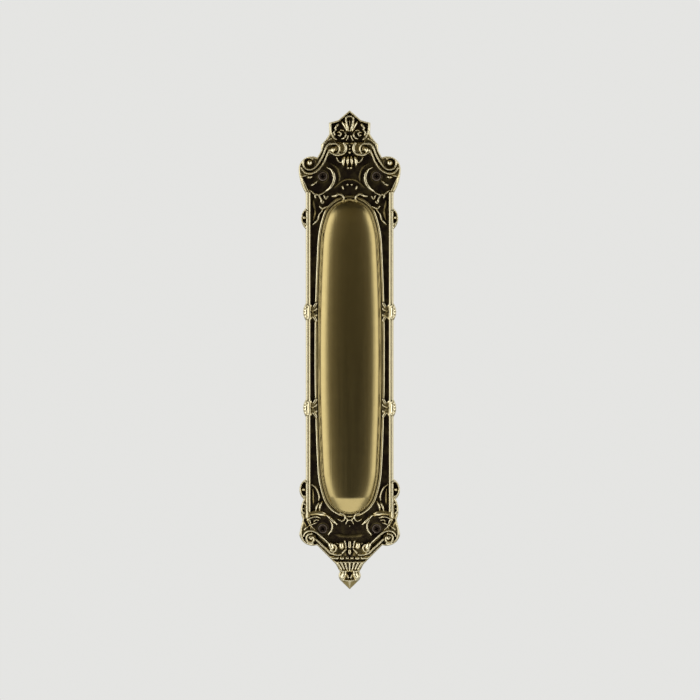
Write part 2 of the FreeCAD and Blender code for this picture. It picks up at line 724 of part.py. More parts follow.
def make_upper_field():
    """Ornament on the sunk ground round the upper screw."""
    ground = dims["ground_height"].value
    width = dims["stroke_width"].value
    rise = dims["stroke_rise"].value
    strokes = {
        "upper_screw_c": ([(13.8, 4.9), (9.6, -1.2), (15.2, -9.4)], 205.0, 1.0),
        "upper_panel_edge": ([(11.4, 7.8), (6.3, 1.0), (6.8, -5.6)], 228.0, 0.55),
        "upper_arch": ([(0.0, -1.8), (3.8, -2.6), (9.2, -6.6)], 0.0, 0.6),
        "upper_boss_c": ([(9.6, -12.0), (6.4, -11.2), (3.6, -12.6)], 165.0, 0.9),
        "upper_panel_foot": ([(15.6, -9.6), (20.0, -11.2), (24.4, -8.8)], -35.0, 0.85),
        "upper_spray": ([(16.6, -19.6), (19.8, -24.2), (22.2, -30.0)], -50.0, 0.95),
        "upper_loop": ([(18.2, -13.2), (15.6, -15.6), (16.8, -18.4)], 200.0, 0.8),
    }
    leaves = {
        "upper_pendant_in": ((0.9, 11.0), (1.2, 5.8), 1.8),
        "upper_pendant_out": ((2.0, 10.8), (5.2, 6.8), 1.8),
        "upper_shell_in": ((0.9, -9.6), (1.4, -4.2), 2.0),
        "upper_shell_out": ((2.6, -10.4), (5.2, -5.6), 2.0),
        "upper_dash_high": ((25.6, -0.2), (22.4, -1.0), 1.6),
        "upper_dash_low": ((23.8, -6.4), (20.6, -2.8), 1.7),
        "upper_leaf_high": ((21.8, -12.6), (20.6, -18.6), 2.6),
        "upper_leaf_low": ((21.0, -18.8), (22.0, -25.6), 2.4),
        "upper_edge_leaf": ((27.2, -20.2), (27.4, -31.2), 3.6),
    }
    pieces = []
    for name, (points, degrees, share) in strokes.items():
        pieces.append(ridge(name, flowing_path(points, degrees, upper_row), width, ground, rise * share))
    for name, (root, tip, leaf_width) in leaves.items():
        pieces.append(leaf(name, upper_row, root, tip, leaf_width, ground, dims["leaf_rise"].value))
    return pieces


def make_lower_field():
    """Ornament on the sunk ground round the lower screw."""
    ground = dims["ground_height"].value
    width = dims["stroke_width"].value
    rise = dims["stroke_rise"].value
    strokes = {
        "lower_feather": ([(24.0, 31.0), (21.6, 27.0), (20.8, 21.5), (22.6, 14.2)], 215.0, 0.95),
        "lower_broad_leaf": ([(26.0, 7.4), (21.5, 11.0), (14.6, 9.9)], 70.0, 0.9),
        "lower_diagonal": ([(13.6, 8.6), (8.6, 4.2)], 221.0, 1.0),
        "lower_screw_c": ([(12.4, 6.0), (11.1, 2.0), (13.8, -3.2)], 235.0, 0.8),
        "lower_curl": ([(25.6, 3.6), (22.6, 6.8), (19.2, 5.4)], 75.0, 0.75),
        "lower_bar": ([(0.0, -3.8), (8.6, -2.8)], 0.0, 0.7),
        "lower_fleur": ([(6.0, 10.4), (2.9, 8.4), (4.6, 5.6)], 190.0, 0.85),
    }
    leaves = {
        "lower_feather_leaf": ((18.2, 20.4), (19.8, 14.0), 1.8),
        "lower_feather_tip": ((23.4, 26.0), (22.8, 18.0), 1.6),
        "lower_edge_leaf_high": ((27.6, 29.2), (28.4, 19.2), 4.2),
        "lower_edge_leaf_low": ((28.0, 17.4), (28.5, 9.2), 2.8),
    }
    pieces = []
    for name, (points, degrees, share) in strokes.items():
        pieces.append(ridge(name, flowing_path(points, degrees, lower_row), width, ground, rise * share))
    for name, (root, tip, leaf_width) in leaves.items():
        pieces.append(leaf(name, lower_row, root, tip, leaf_width, ground, dims["leaf_rise"].value))
    return pieces


def make_pendant():
    """Right half of the mouldings and flutes that run down to the finial."""
    land = dims["land_height"].value
    width = dims["stroke_width"].value
    rise = dims["band_rise"].value
    mouldings = {
        "apron_moulding": ([(0.0, -17.4), (10.6, -17.4)], 0.9),
        "apron_fillet": ([(0.0, -20.2), (8.0, -20.2)], 0.6),
        "stem_collar": ([(0.0, -26.0), (5.0, -26.0)], 0.8),
    }
    pieces = []
    for name, (points, share) in mouldings.items():
        pieces.append(ridge(name, flowing_path(points, 0.0, lower_row), width, land, rise * share))
    for index, (top, foot) in enumerate(((1.5, 0.9), (4.0, 2.5), (6.6, 4.2))):
        pieces.append(gadroon(f"stem_flute_{index}", lower_row, [(top, -20.6, 1.0), (foot, -25.6, 0.6)], land))
    pieces.append(ball("apron_blob", lower_row, 5.2, -10.0, 1.8, land))
    pieces.append(gadroon("moulding_flute_side", lower_row, [(1.4, -14.6, 0.5), (2.2, -7.6, 0.9)], land))
    return pieces


def make_finial():
    """Acorn at the foot, on the centre line."""
    facets = 6
    places = []
    for level in ("top", "middle", "foot", "tip"):
        places.append((0.0, -dims[f"acorn_{level}"].value, dims[f"acorn_{level}_radius"].value))
    return [gadroon("acorn", lower_row, places, dims["ground_height"].value, facets)]


# Screws and their holes

def make_screw():
    """Countersunk wood screw with a cross recess, in the upper right hole."""
    body = doc.addObject("PartDesign::Body", "screw")
    head = dims["screw_head"] / 2.0
    shank = dims["screw_shank"] / 2.0
    corners = [
        (axis, axis),
        (head, axis),
        (head, dims["head_edge"]),
        (shank, dims["head_edge"] + head - shank),
        (shank, dims["screw_length"] - dims["screw_point"]),
        (axis, dims["screw_length"]),
    ]
    profile = outline_sketch(body, "screw_profile", corners, "XY_Plane")
    lathe = body.newObject("PartDesign::Revolution", "lathe")
    lathe.Profile = profile
    lathe.ReferenceAxis = (profile, ["V_Axis"])
    lathe.Angle = 360.0
    doc.recompute()
    whole = body.Shape.Volume
    span = dims["slot_span"] / 2.0
    arm = dims["slot_width"] / 2.0
    cross = [(arm, span), (arm, arm), (span, arm), (span, -arm), (arm, -arm), (arm, -span),
             (-arm, -span), (-arm, -arm), (-span, -arm), (-span, arm), (-arm, arm), (-arm, span)]
    recess = body.newObject("PartDesign::Pocket", "recess")
    recess.Profile = outline_sketch(body, "recess_outline", cross)
    bind(recess, Length=dims["slot_depth"])
    doc.recompute()
    if body.Shape.Volume >= whole:
        raise RuntimeError("the cross recess cuts nothing")
    placed(body, screw_reach, shank - head - dims["head_edge"], upper_row)
    return body


def make_hole():
    """Countersunk hole for the upper right screw, whose head tapers down to the back of the plate."""
    bore = doc.addObject("Part::Cylinder", "bore")
    radius = dims["screw_shank"] / 2.0 + dims["hole_clearance"]
    bind(bore, Radius=radius, Height=dims["ground_height"] + dims["land_height"])
    placed(bore, screw_reach, dims["ground_height"], upper_row, along_depth)
    sink = doc.addObject("Part::Cone", "sink")
    rim = dims["screw_head"] / 2.0 + dims["seat_clearance"]
    taper = dims["screw_head"] / 2.0 - dims["screw_shank"] / 2.0
    above = dims["ground_height"] - taper + dims["sink_overrun"]
    bind(sink, Radius1=radius, Radius2=rim + above, Height=rim + above - radius)
    placed(sink, screw_reach, rim - radius - taper, upper_row, along_depth)
    hole = doc.addObject("Part::Fuse", "hole")
    hole.Base = bore
    hole.Tool = sink
    return hole


def mirrored(thing, normal, suffix):
    twin = doc.addObject("Part::Mirroring", f"{thing.Name}_{suffix}")
    twin.Source = thing
    twin.Normal = normal
    return twin


def at_four_corners(thing):
    """The object and its mirror images in the other three corners."""
    to_left = Vector(1, 0, 0)
    to_bottom = Vector(0, 0, 1)
    pair = [thing, mirrored(thing, to_left, "left")]
    return pair + [mirrored(each, to_bottom, "lower") for each in pair]


def joined(name, things):
    """One shape of many: exact, where the document's own fusion would widen its tolerance and lose thin
    edges."""
    doc.recompute()
    shapes = [thing.Shape for thing in things]
    return solid_feature(name, shapes[0].multiFuse(shapes[1:]))


blank = make_blank()
middle = [make_cushion(), make_bead()] + make_centre_line() + make_finial()
ties = make_tie("upper_tie", dims["upper_tie"]) + make_tie("lower_tie", -dims["lower_tie"])
carving = make_rails() + make_scrolls() + make_crest()
carving += make_upper_field() + make_lower_field() + make_pendant()
doc.recompute()
right_side = [joined("ties_right", ties), joined("carving_right", carving)]
relief = joined("right_relief", [joined("plain_plate", [blank] + middle)] + right_side)
for thing in right_side:
    relief = joined(f"relief_with_{thing.Name}", [relief, mirrored(thing, Vector(1, 0, 0), "left")])
voids = joined("voids", [make_hollow()] + at_four_corners(make_hole()))
plate = solid_feature("finger_plate", relief.Shape.cut(voids.Shape))
screws = doc.addObject("Part::Compound", "fixing_screws")
screws.Links = at_four_corners(make_screw())
doc.recompute()

for thing in doc.Objects:
    if "Invalid" in thing.State or "Error" in thing.State:
        raise RuntimeError(f"{thing.Label} failed")
os.makedirs("parts", exist_ok=True)
for thing, solids in ((plate, 1), (screws, 4)):
    if thing.Shape.isNull() or not thing.Shape.isValid() or len(thing.Shape.Solids) != solids:
        raise RuntimeError(f"{thing.Label} has no sound shape")
    thing.Shape.exportStep(f"parts/{thing.Label}.step")
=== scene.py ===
"""Antique brass finger plate: its carved relief, its finish and its screws, around the CAD frame.

All relief is written in millimetres and mirrored about the centre line. Reach is the distance from
that line and rise is measured up from a pair of screws, so +Z is up and the front faces -Y as in the
frame. The stage is written in metres.
"""

import math

import bmesh
import bpy
import numpy as np
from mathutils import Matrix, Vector
from mathutils.geometry import tessellate_polygon


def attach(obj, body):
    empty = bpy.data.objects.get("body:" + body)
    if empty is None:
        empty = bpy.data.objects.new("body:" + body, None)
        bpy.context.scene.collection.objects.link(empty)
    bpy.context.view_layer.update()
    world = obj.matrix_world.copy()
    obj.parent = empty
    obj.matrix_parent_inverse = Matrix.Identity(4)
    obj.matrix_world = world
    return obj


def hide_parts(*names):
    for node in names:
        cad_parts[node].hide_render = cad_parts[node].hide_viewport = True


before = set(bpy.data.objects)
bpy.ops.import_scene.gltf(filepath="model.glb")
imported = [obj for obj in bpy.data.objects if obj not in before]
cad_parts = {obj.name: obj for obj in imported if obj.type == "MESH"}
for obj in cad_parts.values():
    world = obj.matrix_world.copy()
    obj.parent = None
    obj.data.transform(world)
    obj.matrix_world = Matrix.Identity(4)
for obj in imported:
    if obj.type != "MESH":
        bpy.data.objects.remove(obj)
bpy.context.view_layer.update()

MM = 0.001

# Heights over the middle of the plate: the two pairs of screws and the ribbon ties on the rails
UPPER_ROW = 106.75
LOWER_ROW = -106.75
TIES = (24.6, -33.6)

# Distances from the centre line
SCREW_REACH = 16.3
RAIL_EDGE = 26.6

# Rises from the screws: top of the crest, top of the pendant's plain tip and the foot of that tip
CREST_TOP = 40.0
TIP_TOP = -31.4
TIP_FOOT = -36.5

# Heights of the front over the back of the plate
GROUND = 2.0
LAND = 4.0
EDGE = 3.1
CUSHION_TOP = 7.75

# Cushion: half its width and length, and its middle below the middle of the screws
CUSHION_HALF_WIDTH = 18.4
CUSHION_HALF_LENGTH = 94.4
CUSHION_DROP = 2.4

# Spacing of the front's grid, and of its rows where the cushion and the rails are plain
FINE_STEP = 0.32
FAR_STEP = 2.4

# Polish: 1 is buffed brass and 0 is dark patina
CUSHION_POLISH = 0.68
TIP_POLISH = 0.72
RIM_POLISH = 0.85
BACK_POLISH = 0.55


# Outline

def arc_points(start, end, bulge, side):
    """Points of the arc from start to end, without start, that swells from its chord by the bulge."""
    count = 14
    start = np.array(start)
    end = np.array(end)
    chord = end - start
    length = np.hypot(*chord)
    normal = np.array([-chord[1], chord[0]]) / length * side
    radius = (length ** 2 / 4 + bulge ** 2) / (2 * bulge)
    centre = (start + end) / 2 + normal * (bulge - radius)
    first = math.atan2(*(start - centre)[::-1])
    last = math.atan2(*(end - centre)[::-1])
    turn = (last - first + math.pi) % (2 * math.pi) - math.pi
    if bulge > radius:
        turn -= math.copysign(2 * math.pi, turn)
    angles = first + turn * np.arange(1, count + 1) / count
    return centre + radius * np.stack([np.cos(angles), np.sin(angles)], axis=1)


def right_outline():
    """Right half of the plate's outline as points (x, z), from the tip of the crest down. A corner that
    starts an arc also holds the arc's bulge and side."""
    out = 1
    hollow = -1
    tie_half_length, tie_bulge = 5.2, 1.6
    ties = []
    for middle in TIES:
        ties.append((RAIL_EDGE, middle + tie_half_length, tie_bulge, out))
        ties.append((RAIL_EDGE, middle - tie_half_length))
    corners = [
        (0.0, UPPER_ROW + CREST_TOP), (7.0, UPPER_ROW + 33.9), (12.6, UPPER_ROW + 32.4),
        (12.4, UPPER_ROW + 25.4, 0.26, hollow), (17.3, UPPER_ROW + 19.2), (17.3, UPPER_ROW + 15.6),
        (19.6, UPPER_ROW + 11.4, 3.9, out), (30.9, UPPER_ROW + 3.6, 0.9, out),
        (RAIL_EDGE, UPPER_ROW - 10.4), (RAIL_EDGE, UPPER_ROW - 19.3, 2.8, out),
        (RAIL_EDGE, UPPER_ROW - 32.0), *ties, (RAIL_EDGE, LOWER_ROW + 30.2, 3.25, out),
        (27.8, LOWER_ROW + 18.0, 1.5, out), (28.4, LOWER_ROW + 6.0),
        (30.6, LOWER_ROW - 3.2, 2.9, out), (19.8, LOWER_ROW - 9.8), (8.5, LOWER_ROW - 21.2),
        (5.9, LOWER_ROW - 26.0, 0.9, out), (5.7, LOWER_ROW - 31.0), (0.0, LOWER_ROW + TIP_FOOT),
    ]
    points = [np.array(corners[0][:2])]
    for corner, following in zip(corners, corners[1:]):
        if len(corner) == 2:
            points.append(np.array(following[:2]))
        else:
            points.extend(arc_points(corner[:2], following[:2], corner[2], corner[3]))
    return np.array(points)


def distance_to_path(x, z, path):
    """Distance from each point to a polyline, and the share of the polyline passed at the nearest place."""
    best = np.full(x.shape, np.inf)
    share = np.zeros(x.shape)
    lengths = np.hypot(*np.diff(path, axis=0).T)
    total = lengths.sum()
    passed = 0.0
    for start, step, length in zip(path, np.diff(path, axis=0), lengths):
        if length == 0.0:
            continue
        along = ((x - start[0]) * step[0] + (z - start[1]) * step[1]) / length ** 2
        along = np.clip(along, 0.0, 1.0)
        away = np.hypot(x - start[0] - along * step[0], z - start[1] - along * step[1])
        nearer = away < best
        best = np.where(nearer, away, best)
        share = np.where(nearer, (passed + along * length) / total, share)
        passed += length
    return best, share


def inside_polygon(x, z, polygon):
    """Even-odd test of each point against a closed polygon."""
    inside = np.zeros(x.shape, dtype=bool)
    for (x0, z0), (x1, z1) in zip(polygon, np.roll(polygon, -1, axis=0)):
        if z0 == z1:
            continue
        crosses = (z0 > z) != (z1 > z)
        inside ^= crosses & (x < x0 + (z - z0) * (x1 - x0) / (z1 - z0))
    return inside


HALF_OUTLINE = right_outline()
OUTLINE = np.concatenate([HALF_OUTLINE, HALF_OUTLINE[-2:0:-1] * [-1, 1]])


def depth_inside(x, z):
    """Distance inside the plate's outline, negative outside it."""
    away = distance_to_path(np.abs(x), z, HALF_OUTLINE)[0]
    return np.where(inside_polygon(x, z, OUTLINE), away, -away)


# Relief

def smooth_step(low, high, value):
    """Smooth change from 0 at low to 1 at high, which may be the smaller of the two."""
    share = np.clip((value - low) / (high - low), 0.0, 1.0)
    return share * share * (3.0 - 2.0 * share)


def bead_section(across):
    """Rounded section of a bead: 1 at its middle and 0 at its edges, where across is 1."""
    return np.clip(1.0 - across ** 2, 0.0, 1.0) ** 0.8


def spline(points):
    """Smooth curve through given points."""
    count = 10
    points = np.array(points, dtype=float)
    if len(points) == 2:
        return points
    padded = np.concatenate([2 * points[:1] - points[1:2], points, 2 * points[-1:] - points[-2:-1]])
    t = np.linspace(0.0, 1.0, count, endpoint=False)[:, None]
    runs = []
    for a, b, c, d in zip(padded, padded[1:], padded[2:], padded[3:]):
        runs.append(0.5 * (2 * b + (c - a) * t + (2 * a - 5 * b + 4 * c - d) * t ** 2
                           + (3 * b - a - 3 * c + d) * t ** 3))
    return np.concatenate(runs + [points[-1:]])


def volute(centre, start_degrees, turns, outer, inner):
    """Points of a spiral that winds in round a centre; positive turns go to the left."""
    fewest, per_turn = 12, 28
    share = np.linspace(0.0, 1.0, max(fewest, int(abs(turns) * per_turn)))
    angles = math.radians(start_degrees) + 2 * math.pi * turns * share
    radii = outer + (inner - outer) * share
    return np.stack([centre[0] + radii * np.cos(angles), centre[1] + radii * np.sin(angles)], axis=1)


class Relief:
    """Height of the front over the back at a set of points of the right half. Paths are pairs of reach
    and rise, and row is the height that rises are measured from."""

    def __init__(self, reach, z):
        self.reach = reach
        self.z = z
        self.height = np.full(reach.shape, GROUND)
        self.row = 0.0

    def near(self, path, margin):
        """Points in the box round a path."""
        low = path.min(axis=0) - margin
        high = path.max(axis=0) + margin
        return ((self.reach > low[0]) & (self.reach < high[0]) & (self.z > low[1]) & (self.z < high[1]))

    def raise_to(self, mask, level):
        """Blends a higher level in with a soft crease."""
        crease, fill = 0.12, 0.25
        now = self.height[mask]
        high = np.maximum(now, level)
        self.height[mask] = high + crease * np.exp(-np.abs(now - level) / crease) * fill

    def raise_ridge(self, mask, across, foot, crest_level):
        """Raises a ridge with this crest and steep sides; across is 1 at its edges."""
        wall_start, untouched = 0.8, -1.0
        level = foot + (crest_level - foot) * smooth_step(1.0, wall_start, across)
        self.raise_to(mask, np.where(across < 1.0, level, untouched))

    def stroke(self, points, width, top, base=GROUND, ends=(1.0, 1.0), smooth=True, power=2.0,
               crown=0.35):
        """Ridge with a rounded crest along a path: half width, crest height, and the share of both that
        is left at its two ends. The crown is the crest's fall over its half width, and a higher power
        flattens its middle."""
        path = spline(points) if smooth else np.array(points, dtype=float)
        path = path + [0.0, self.row]
        mask = self.near(path, width)
        if not mask.any():
            return
        ending, thinnest, sunk = 0.3, 0.05, 0.4
        away, share = distance_to_path(self.reach[mask], self.z[mask], path)
        taper = ends[0] + (1 - ends[0]) * smooth_step(0.0, ending, share)
        taper = taper * (ends[1] + (1 - ends[1]) * smooth_step(0.0, ending, 1 - share))
        across = away / (width * np.maximum(taper, thinnest))
        foot = base - sunk
        crest_level = foot + (top - foot) * taper ** 0.6 - crown * width * taper * across ** power
        self.raise_ridge(mask, across, foot, crest_level)

    def knob(self, reach, rise, radius, top, base=GROUND):
        """Round knob: a stroke that is almost a point, with a strong crown."""
        length = 0.01
        self.stroke([(reach, rise), (reach + length, rise)], radius, top, base, smooth=False, crown=0.9)

    def leaf(self, root, tip, width, top, bend=0.0):
        """Pointed leaf with a keel, swelling between root and tip."""
        root = np.array(root)
        tip = np.array(tip)
        step = tip - root
        side = np.array([-step[1], step[0]])
        path = spline([root, (root + tip) / 2 + side * bend, tip]) + [0.0, self.row]
        mask = self.near(path, width)
        if not mask.any():
            return
        blunt, thinnest, sunk, fall = 0.05, 0.08, 0.3, 0.5
        away, share = distance_to_path(self.reach[mask], self.z[mask], path)
        swell = np.sin(np.pi * (share * (1.0 - 2.0 * blunt) + blunt)) ** 0.7
        across = away / (width / 2 * np.maximum(swell, thinnest))
        foot = GROUND - sunk
        keel = foot + (top - foot) * swell ** 0.5 - fall * away
        self.raise_ridge(mask, across, foot, keel)

    def sink(self, points, width, depth):
        """Groove along a path."""
        path = spline(points) + [0.0, self.row]
        mask = self.near(path, width)
        if not mask.any():
            return
        away = distance_to_path(self.reach[mask], self.z[mask], path)[0]
        self.height[mask] -= depth * (1 - smooth_step(0.0, width, away))

    def lift(self, where, level):
        """Raises the front to a level in one region, with no crease."""
        self.height = np.where(where, np.maximum(self.height, level), self.height)


def cushion_margins(reach, z):
    """Distance outside the cushion's plan, an oval from three centres in each quarter, and the distance
    outside its flanks alone."""
    side, shoulder, end = 1300.0, 60.0, 14.0
    side_centre = np.array([CUSHION_HALF_WIDTH - side, 0.0])
    end_centre = np.array([0.0, CUSHION_HALF_LENGTH - end])
    apart = end_centre - side_centre
    span = np.hypot(*apart)
    along = ((side - shoulder) ** 2 - (shoulder - end) ** 2 + span ** 2) / (2 * span)
    aside = math.sqrt((side - shoulder) ** 2 - along ** 2)
    unit = apart / span
    shoulder_centre = side_centre + unit * along + np.array([unit[1], -unit[0]]) * aside
    rise = np.abs(z + CUSHION_DROP)

    def beyond(start, towards):
        step = towards - start
        return (reach - start[0]) * step[1] - (rise - start[1]) * step[0]

    def from_centre(centre, radius):
        return np.hypot(reach - centre[0], rise - centre[1]) - radius

    on_side = beyond(side_centre, shoulder_centre) > 0
    on_end = beyond(shoulder_centre, end_centre) < 0
    flank = np.where(on_side, from_centre(side_centre, side), from_centre(shoulder_centre, shoulder))
    return np.where(on_end & ~on_side, from_centre(end_centre, end), flank), flank


def cushion_margin(reach, z):
    """Distance outside the cushion's plan."""
    return cushion_margins(reach, z)[0]


def land_and_fields(relief):
    """Rim land, the sunk field inside it and the crest's own field."""
    past_centre = -5.0

    def soft_field(corners, slope):
        polygon = np.array(corners)
        away = distance_to_path(relief.reach, relief.z, np.concatenate([polygon, polygon[:1]]))[0]
        signed = np.where(inside_polygon(relief.reach, relief.z, polygon), away, -away)
        return smooth_step(-slope, slope, signed)

    main_field = soft_field([
        (past_centre, LOWER_ROW - 8.4), (12.2, LOWER_ROW - 8.4), (22.6, LOWER_ROW + 1.6),
        (23.9, LOWER_ROW + 6.0), (23.9, UPPER_ROW - 10.4), (28.6, UPPER_ROW - 0.6),
        (22.6, UPPER_ROW + 0.6), (12.0, UPPER_ROW + 12.8), (7.0, UPPER_ROW + 12.6),
        (3.6, UPPER_ROW + 14.0), (past_centre, UPPER_ROW + 14.6)], slope=0.35)
    crest_field = soft_field([
        (past_centre, UPPER_ROW + 20.5), (8.2, UPPER_ROW + 20.5), (10.8, UPPER_ROW + 25.4),
        (11.2, UPPER_ROW + 31.2), (6.6, UPPER_ROW + 32.6), (0.0, UPPER_ROW + 38.3),
        (past_centre, UPPER_ROW + 34.0)], slope=0.4)
    relief.height = LAND - (LAND - GROUND) * np.maximum(main_field, crest_field)


def rim_line(relief, inside):
    """Narrow ridge that follows the plate's outline."""
    place, half_width, rise = 0.55, 0.5, 0.75
    across = np.abs(inside - place) / half_width
    relief.lift(across < 1.0, LAND + rise * bead_section(across))


def cushion_and_beads(relief):
    """Crowned cushion with a straight bevel at its lower end, and two beads round it."""
    margin, flank = cushion_margins(relief.reach, relief.z)
    crown_drop, crown_power, outermost = 4.4, 2.25, 0.992
    across = relief.reach / np.maximum(relief.reach - flank, 0.1)
    outward = np.where(relief.z < -CUSHION_DROP, across, 1.0 + margin / CUSHION_HALF_WIDTH)
    outward = np.clip(outward, 0.0, outermost)
    crowned = CUSHION_TOP - crown_drop * (1.0 - (1.0 - outward ** crown_power) ** (1.0 / crown_power))
    bevel_length, bevel_slope, crease = 8.8, 0.3, 0.8
    beyond = -(relief.z + CUSHION_DROP) - (CUSHION_HALF_LENGTH - bevel_length)
    crowned = crowned - bevel_slope * (beyond + np.sqrt(beyond ** 2 + crease ** 2)) / 2.0
    relief.lift(margin < 0.0, crowned)
    seat, seat_reach = 3.2, 3.2
    relief.lift((margin >= 0.0) & (margin < seat_reach), seat)
    for place, half_width, top in ((0.5, 0.6, 4.5), (2.25, 0.95, 3.9)):
        across = np.abs(margin - place) / half_width
        relief.lift(across < 1.0, seat + (top - seat) * bead_section(across))


def rails_and_ties(relief):
    """Two ribs along each rail, and the ribbon ties: a shell of pleats outside the rail and crossing
    strands inside it."""
    rail_top = UPPER_ROW - 10.0
    for reach, width, top, foot in ((25.85, 0.75, 4.8, 7.0), (24.2, 0.5, 5.3, 10.6)):
        relief.stroke([(reach, LOWER_ROW + foot), (reach, rail_top)], width, top, LAND, smooth=False)
    shell_reach, shell_half_length, pleat_root, pleat_stretch = 26.1, 3.0, 24.6, 1.3
    for middle in TIES:
        shell = [(shell_reach, middle - shell_half_length), (shell_reach, middle + shell_half_length)]
        relief.stroke(shell, 2.1, 5.9, LAND - 0.4, smooth=False, crown=0.6)
        for degrees in (-64, -32, 0, 32, 64):
            angle = math.radians(degrees)
            out = np.array([math.cos(angle), pleat_stretch * math.sin(angle)])
            relief.sink([out * 2.5 + (pleat_root, middle), out * 4.0 + (pleat_root, middle)], 0.5, 0.8)
        for spread in (-5.4, -2.0, 2.0, 5.4):
            relief.stroke([(24.0, middle + spread * 0.8), (22.5, middle + spread * 0.42),
                           (20.3, middle + spread * 0.95)], 0.95, 4.5, LAND - 1.4)


def crest(relief):
    """Palmette and curls in the crest, and the ribs down its sides."""
    relief.row = UPPER_ROW
    relief.stroke([(11.7, 31.6), (11.4, 27.6), (9.9, 23.8), (8.2, 22.2)], 0.6, 5.2, LAND)
    relief.stroke([(0.0, 36.3), (1.1, 36.1), (2.0, 35.3)], 0.55, 4.9)
    relief.stroke([(2.3, 35.4), (1.8, 31.6), (0.5, 27.4)], 0.65, 5.2, ends=(0.8, 0.6))
    relief.stroke([(0.0, 33.6), (0.0, 28.4)], 0.4, 3.6, smooth=False)
    relief.leaf((1.3, 26.8), (4.9, 33.2), 2.4, 4.6, 0.06)
    relief.stroke([(6.9, 31.5), (8.9, 28.9)], 0.7, 5.2, ends=(0.7, 0.9), smooth=False)
    relief.stroke([(8.2, 28.2), (9.5, 26.6), (9.1, 25.0)], 0.6, 5.0)
    relief.stroke([(3.2, 27.2), (4.6, 27.9), (6.4, 27.5)], 0.45, 3.6, ends=(0.7, 0.5))
    relief.stroke([(7.4, 26.4), (6.2, 26.6), (5.2, 25.6), (5.8, 24.4), (6.8, 24.8)], 0.55, 5.0,
                  ends=(0.6, 0.9))
    relief.stroke([(2.6, 26.4), (2.4, 24.6), (3.4, 23.0), (4.9, 22.4)], 0.6, 5.0, ends=(0.7, 0.7))
    relief.stroke([(0.9, 24.6), (1.2, 23.2), (2.0, 21.8)], 0.45, 4.3)
    relief.stroke([(12.8, 24.4), (15.2, 21.6), (16.3, 17.2)], 0.6, 4.9, LAND)
    relief.stroke([(11.4, 22.8), (13.6, 21.4), (14.8, 20.0)], 0.5, 4.6, LAND)


def upper_scrolls(relief):
    """Beads and lobes under the crest, and the scrolls that run out to the shoulders."""
    relief.row = UPPER_ROW
    relief.sink(volute((24.2, 7.9), 0.0, 1.0, 2.8, 2.8), 1.0, 0.5)
    relief.sink([(0.0, 12.8), (0.0, 19.8)], 2.4, 0.9)
    for rise, radius, top in ((18.3, 0.7, 5.0), (16.4, 0.8, 5.1), (14.2, 1.0, 5.6)):
        relief.knob(0.0, rise, radius, top, LAND - 0.6)
    relief.stroke([(6.6, 16.9), (5.2, 16.8)], 3.0, 5.2, LAND - 0.6, smooth=False, power=4.0)
    relief.stroke([(3.4, 19.7), (2.4, 17.8), (2.5, 15.4), (3.9, 13.7), (6.2, 13.0), (9.2, 13.1),
                   (11.4, 14.8)], 0.95, 6.1, LAND - 0.6, crown=0.6)
    relief.sink(volute((9.5, 16.3), 60.0, 0.75, 2.5, 2.3), 0.6, 0.9)
    relief.stroke(volute((9.4, 16.4), 60.0, 0.72, 3.3, 3.1), 0.5, 6.0, LAND - 0.6, smooth=False)
    relief.knob(10.0, 15.9, 1.9, 6.2, LAND - 0.8)
    relief.stroke([(9.8, 19.6), (12.4, 19.3), (14.2, 17.2), (15.6, 13.6), (17.6, 9.6), (20.4, 5.6),
                   (22.6, 4.1), (25.0, 3.9), (27.2, 5.1), (28.2, 7.6), (27.6, 10.0), (25.8, 11.2),
                   (23.8, 11.2), (22.4, 10.4)], 0.62, 6.1, LAND - 0.4)
    relief.knob(24.2, 7.9, 2.2, 6.3, LAND - 0.8)
    relief.sink([(13.9, 15.6), (15.5, 11.2), (18.3, 7.0), (21.2, 4.0), (24.4, 2.7), (27.2, 3.6)], 0.6, 0.8)
    relief.stroke([(12.2, 15.8), (13.6, 13.0), (15.0, 9.4), (17.4, 5.5), (20.4, 2.7), (24.0, 1.5),
                   (27.2, 2.3), (29.2, 4.8)], 0.6, 5.7, LAND - 0.6)


def edge_scroll(relief, reach, rise, half_length, half_width):
    """Small scroll on the plate's edge: a bright outer rim round a dark recess with a bead in it."""
    def at(across, up):
        return reach + half_width * across, rise + half_length * up

    relief.sink([at(0.0, -0.6), at(0.0, 0.6)], half_width * 0.8, 1.6)
    rim = [at(-1.0, 0.8), at(0.0, 1.0), at(0.8, 0.5), at(1.0, 0.0), at(0.7, -0.6), at(-0.4, -1.0)]
    relief.stroke(rim, 0.55, 5.4, LAND - 0.8)
    relief.knob(*at(0.0, -0.1), half_width * 0.55, 5.6, LAND - 1.2)


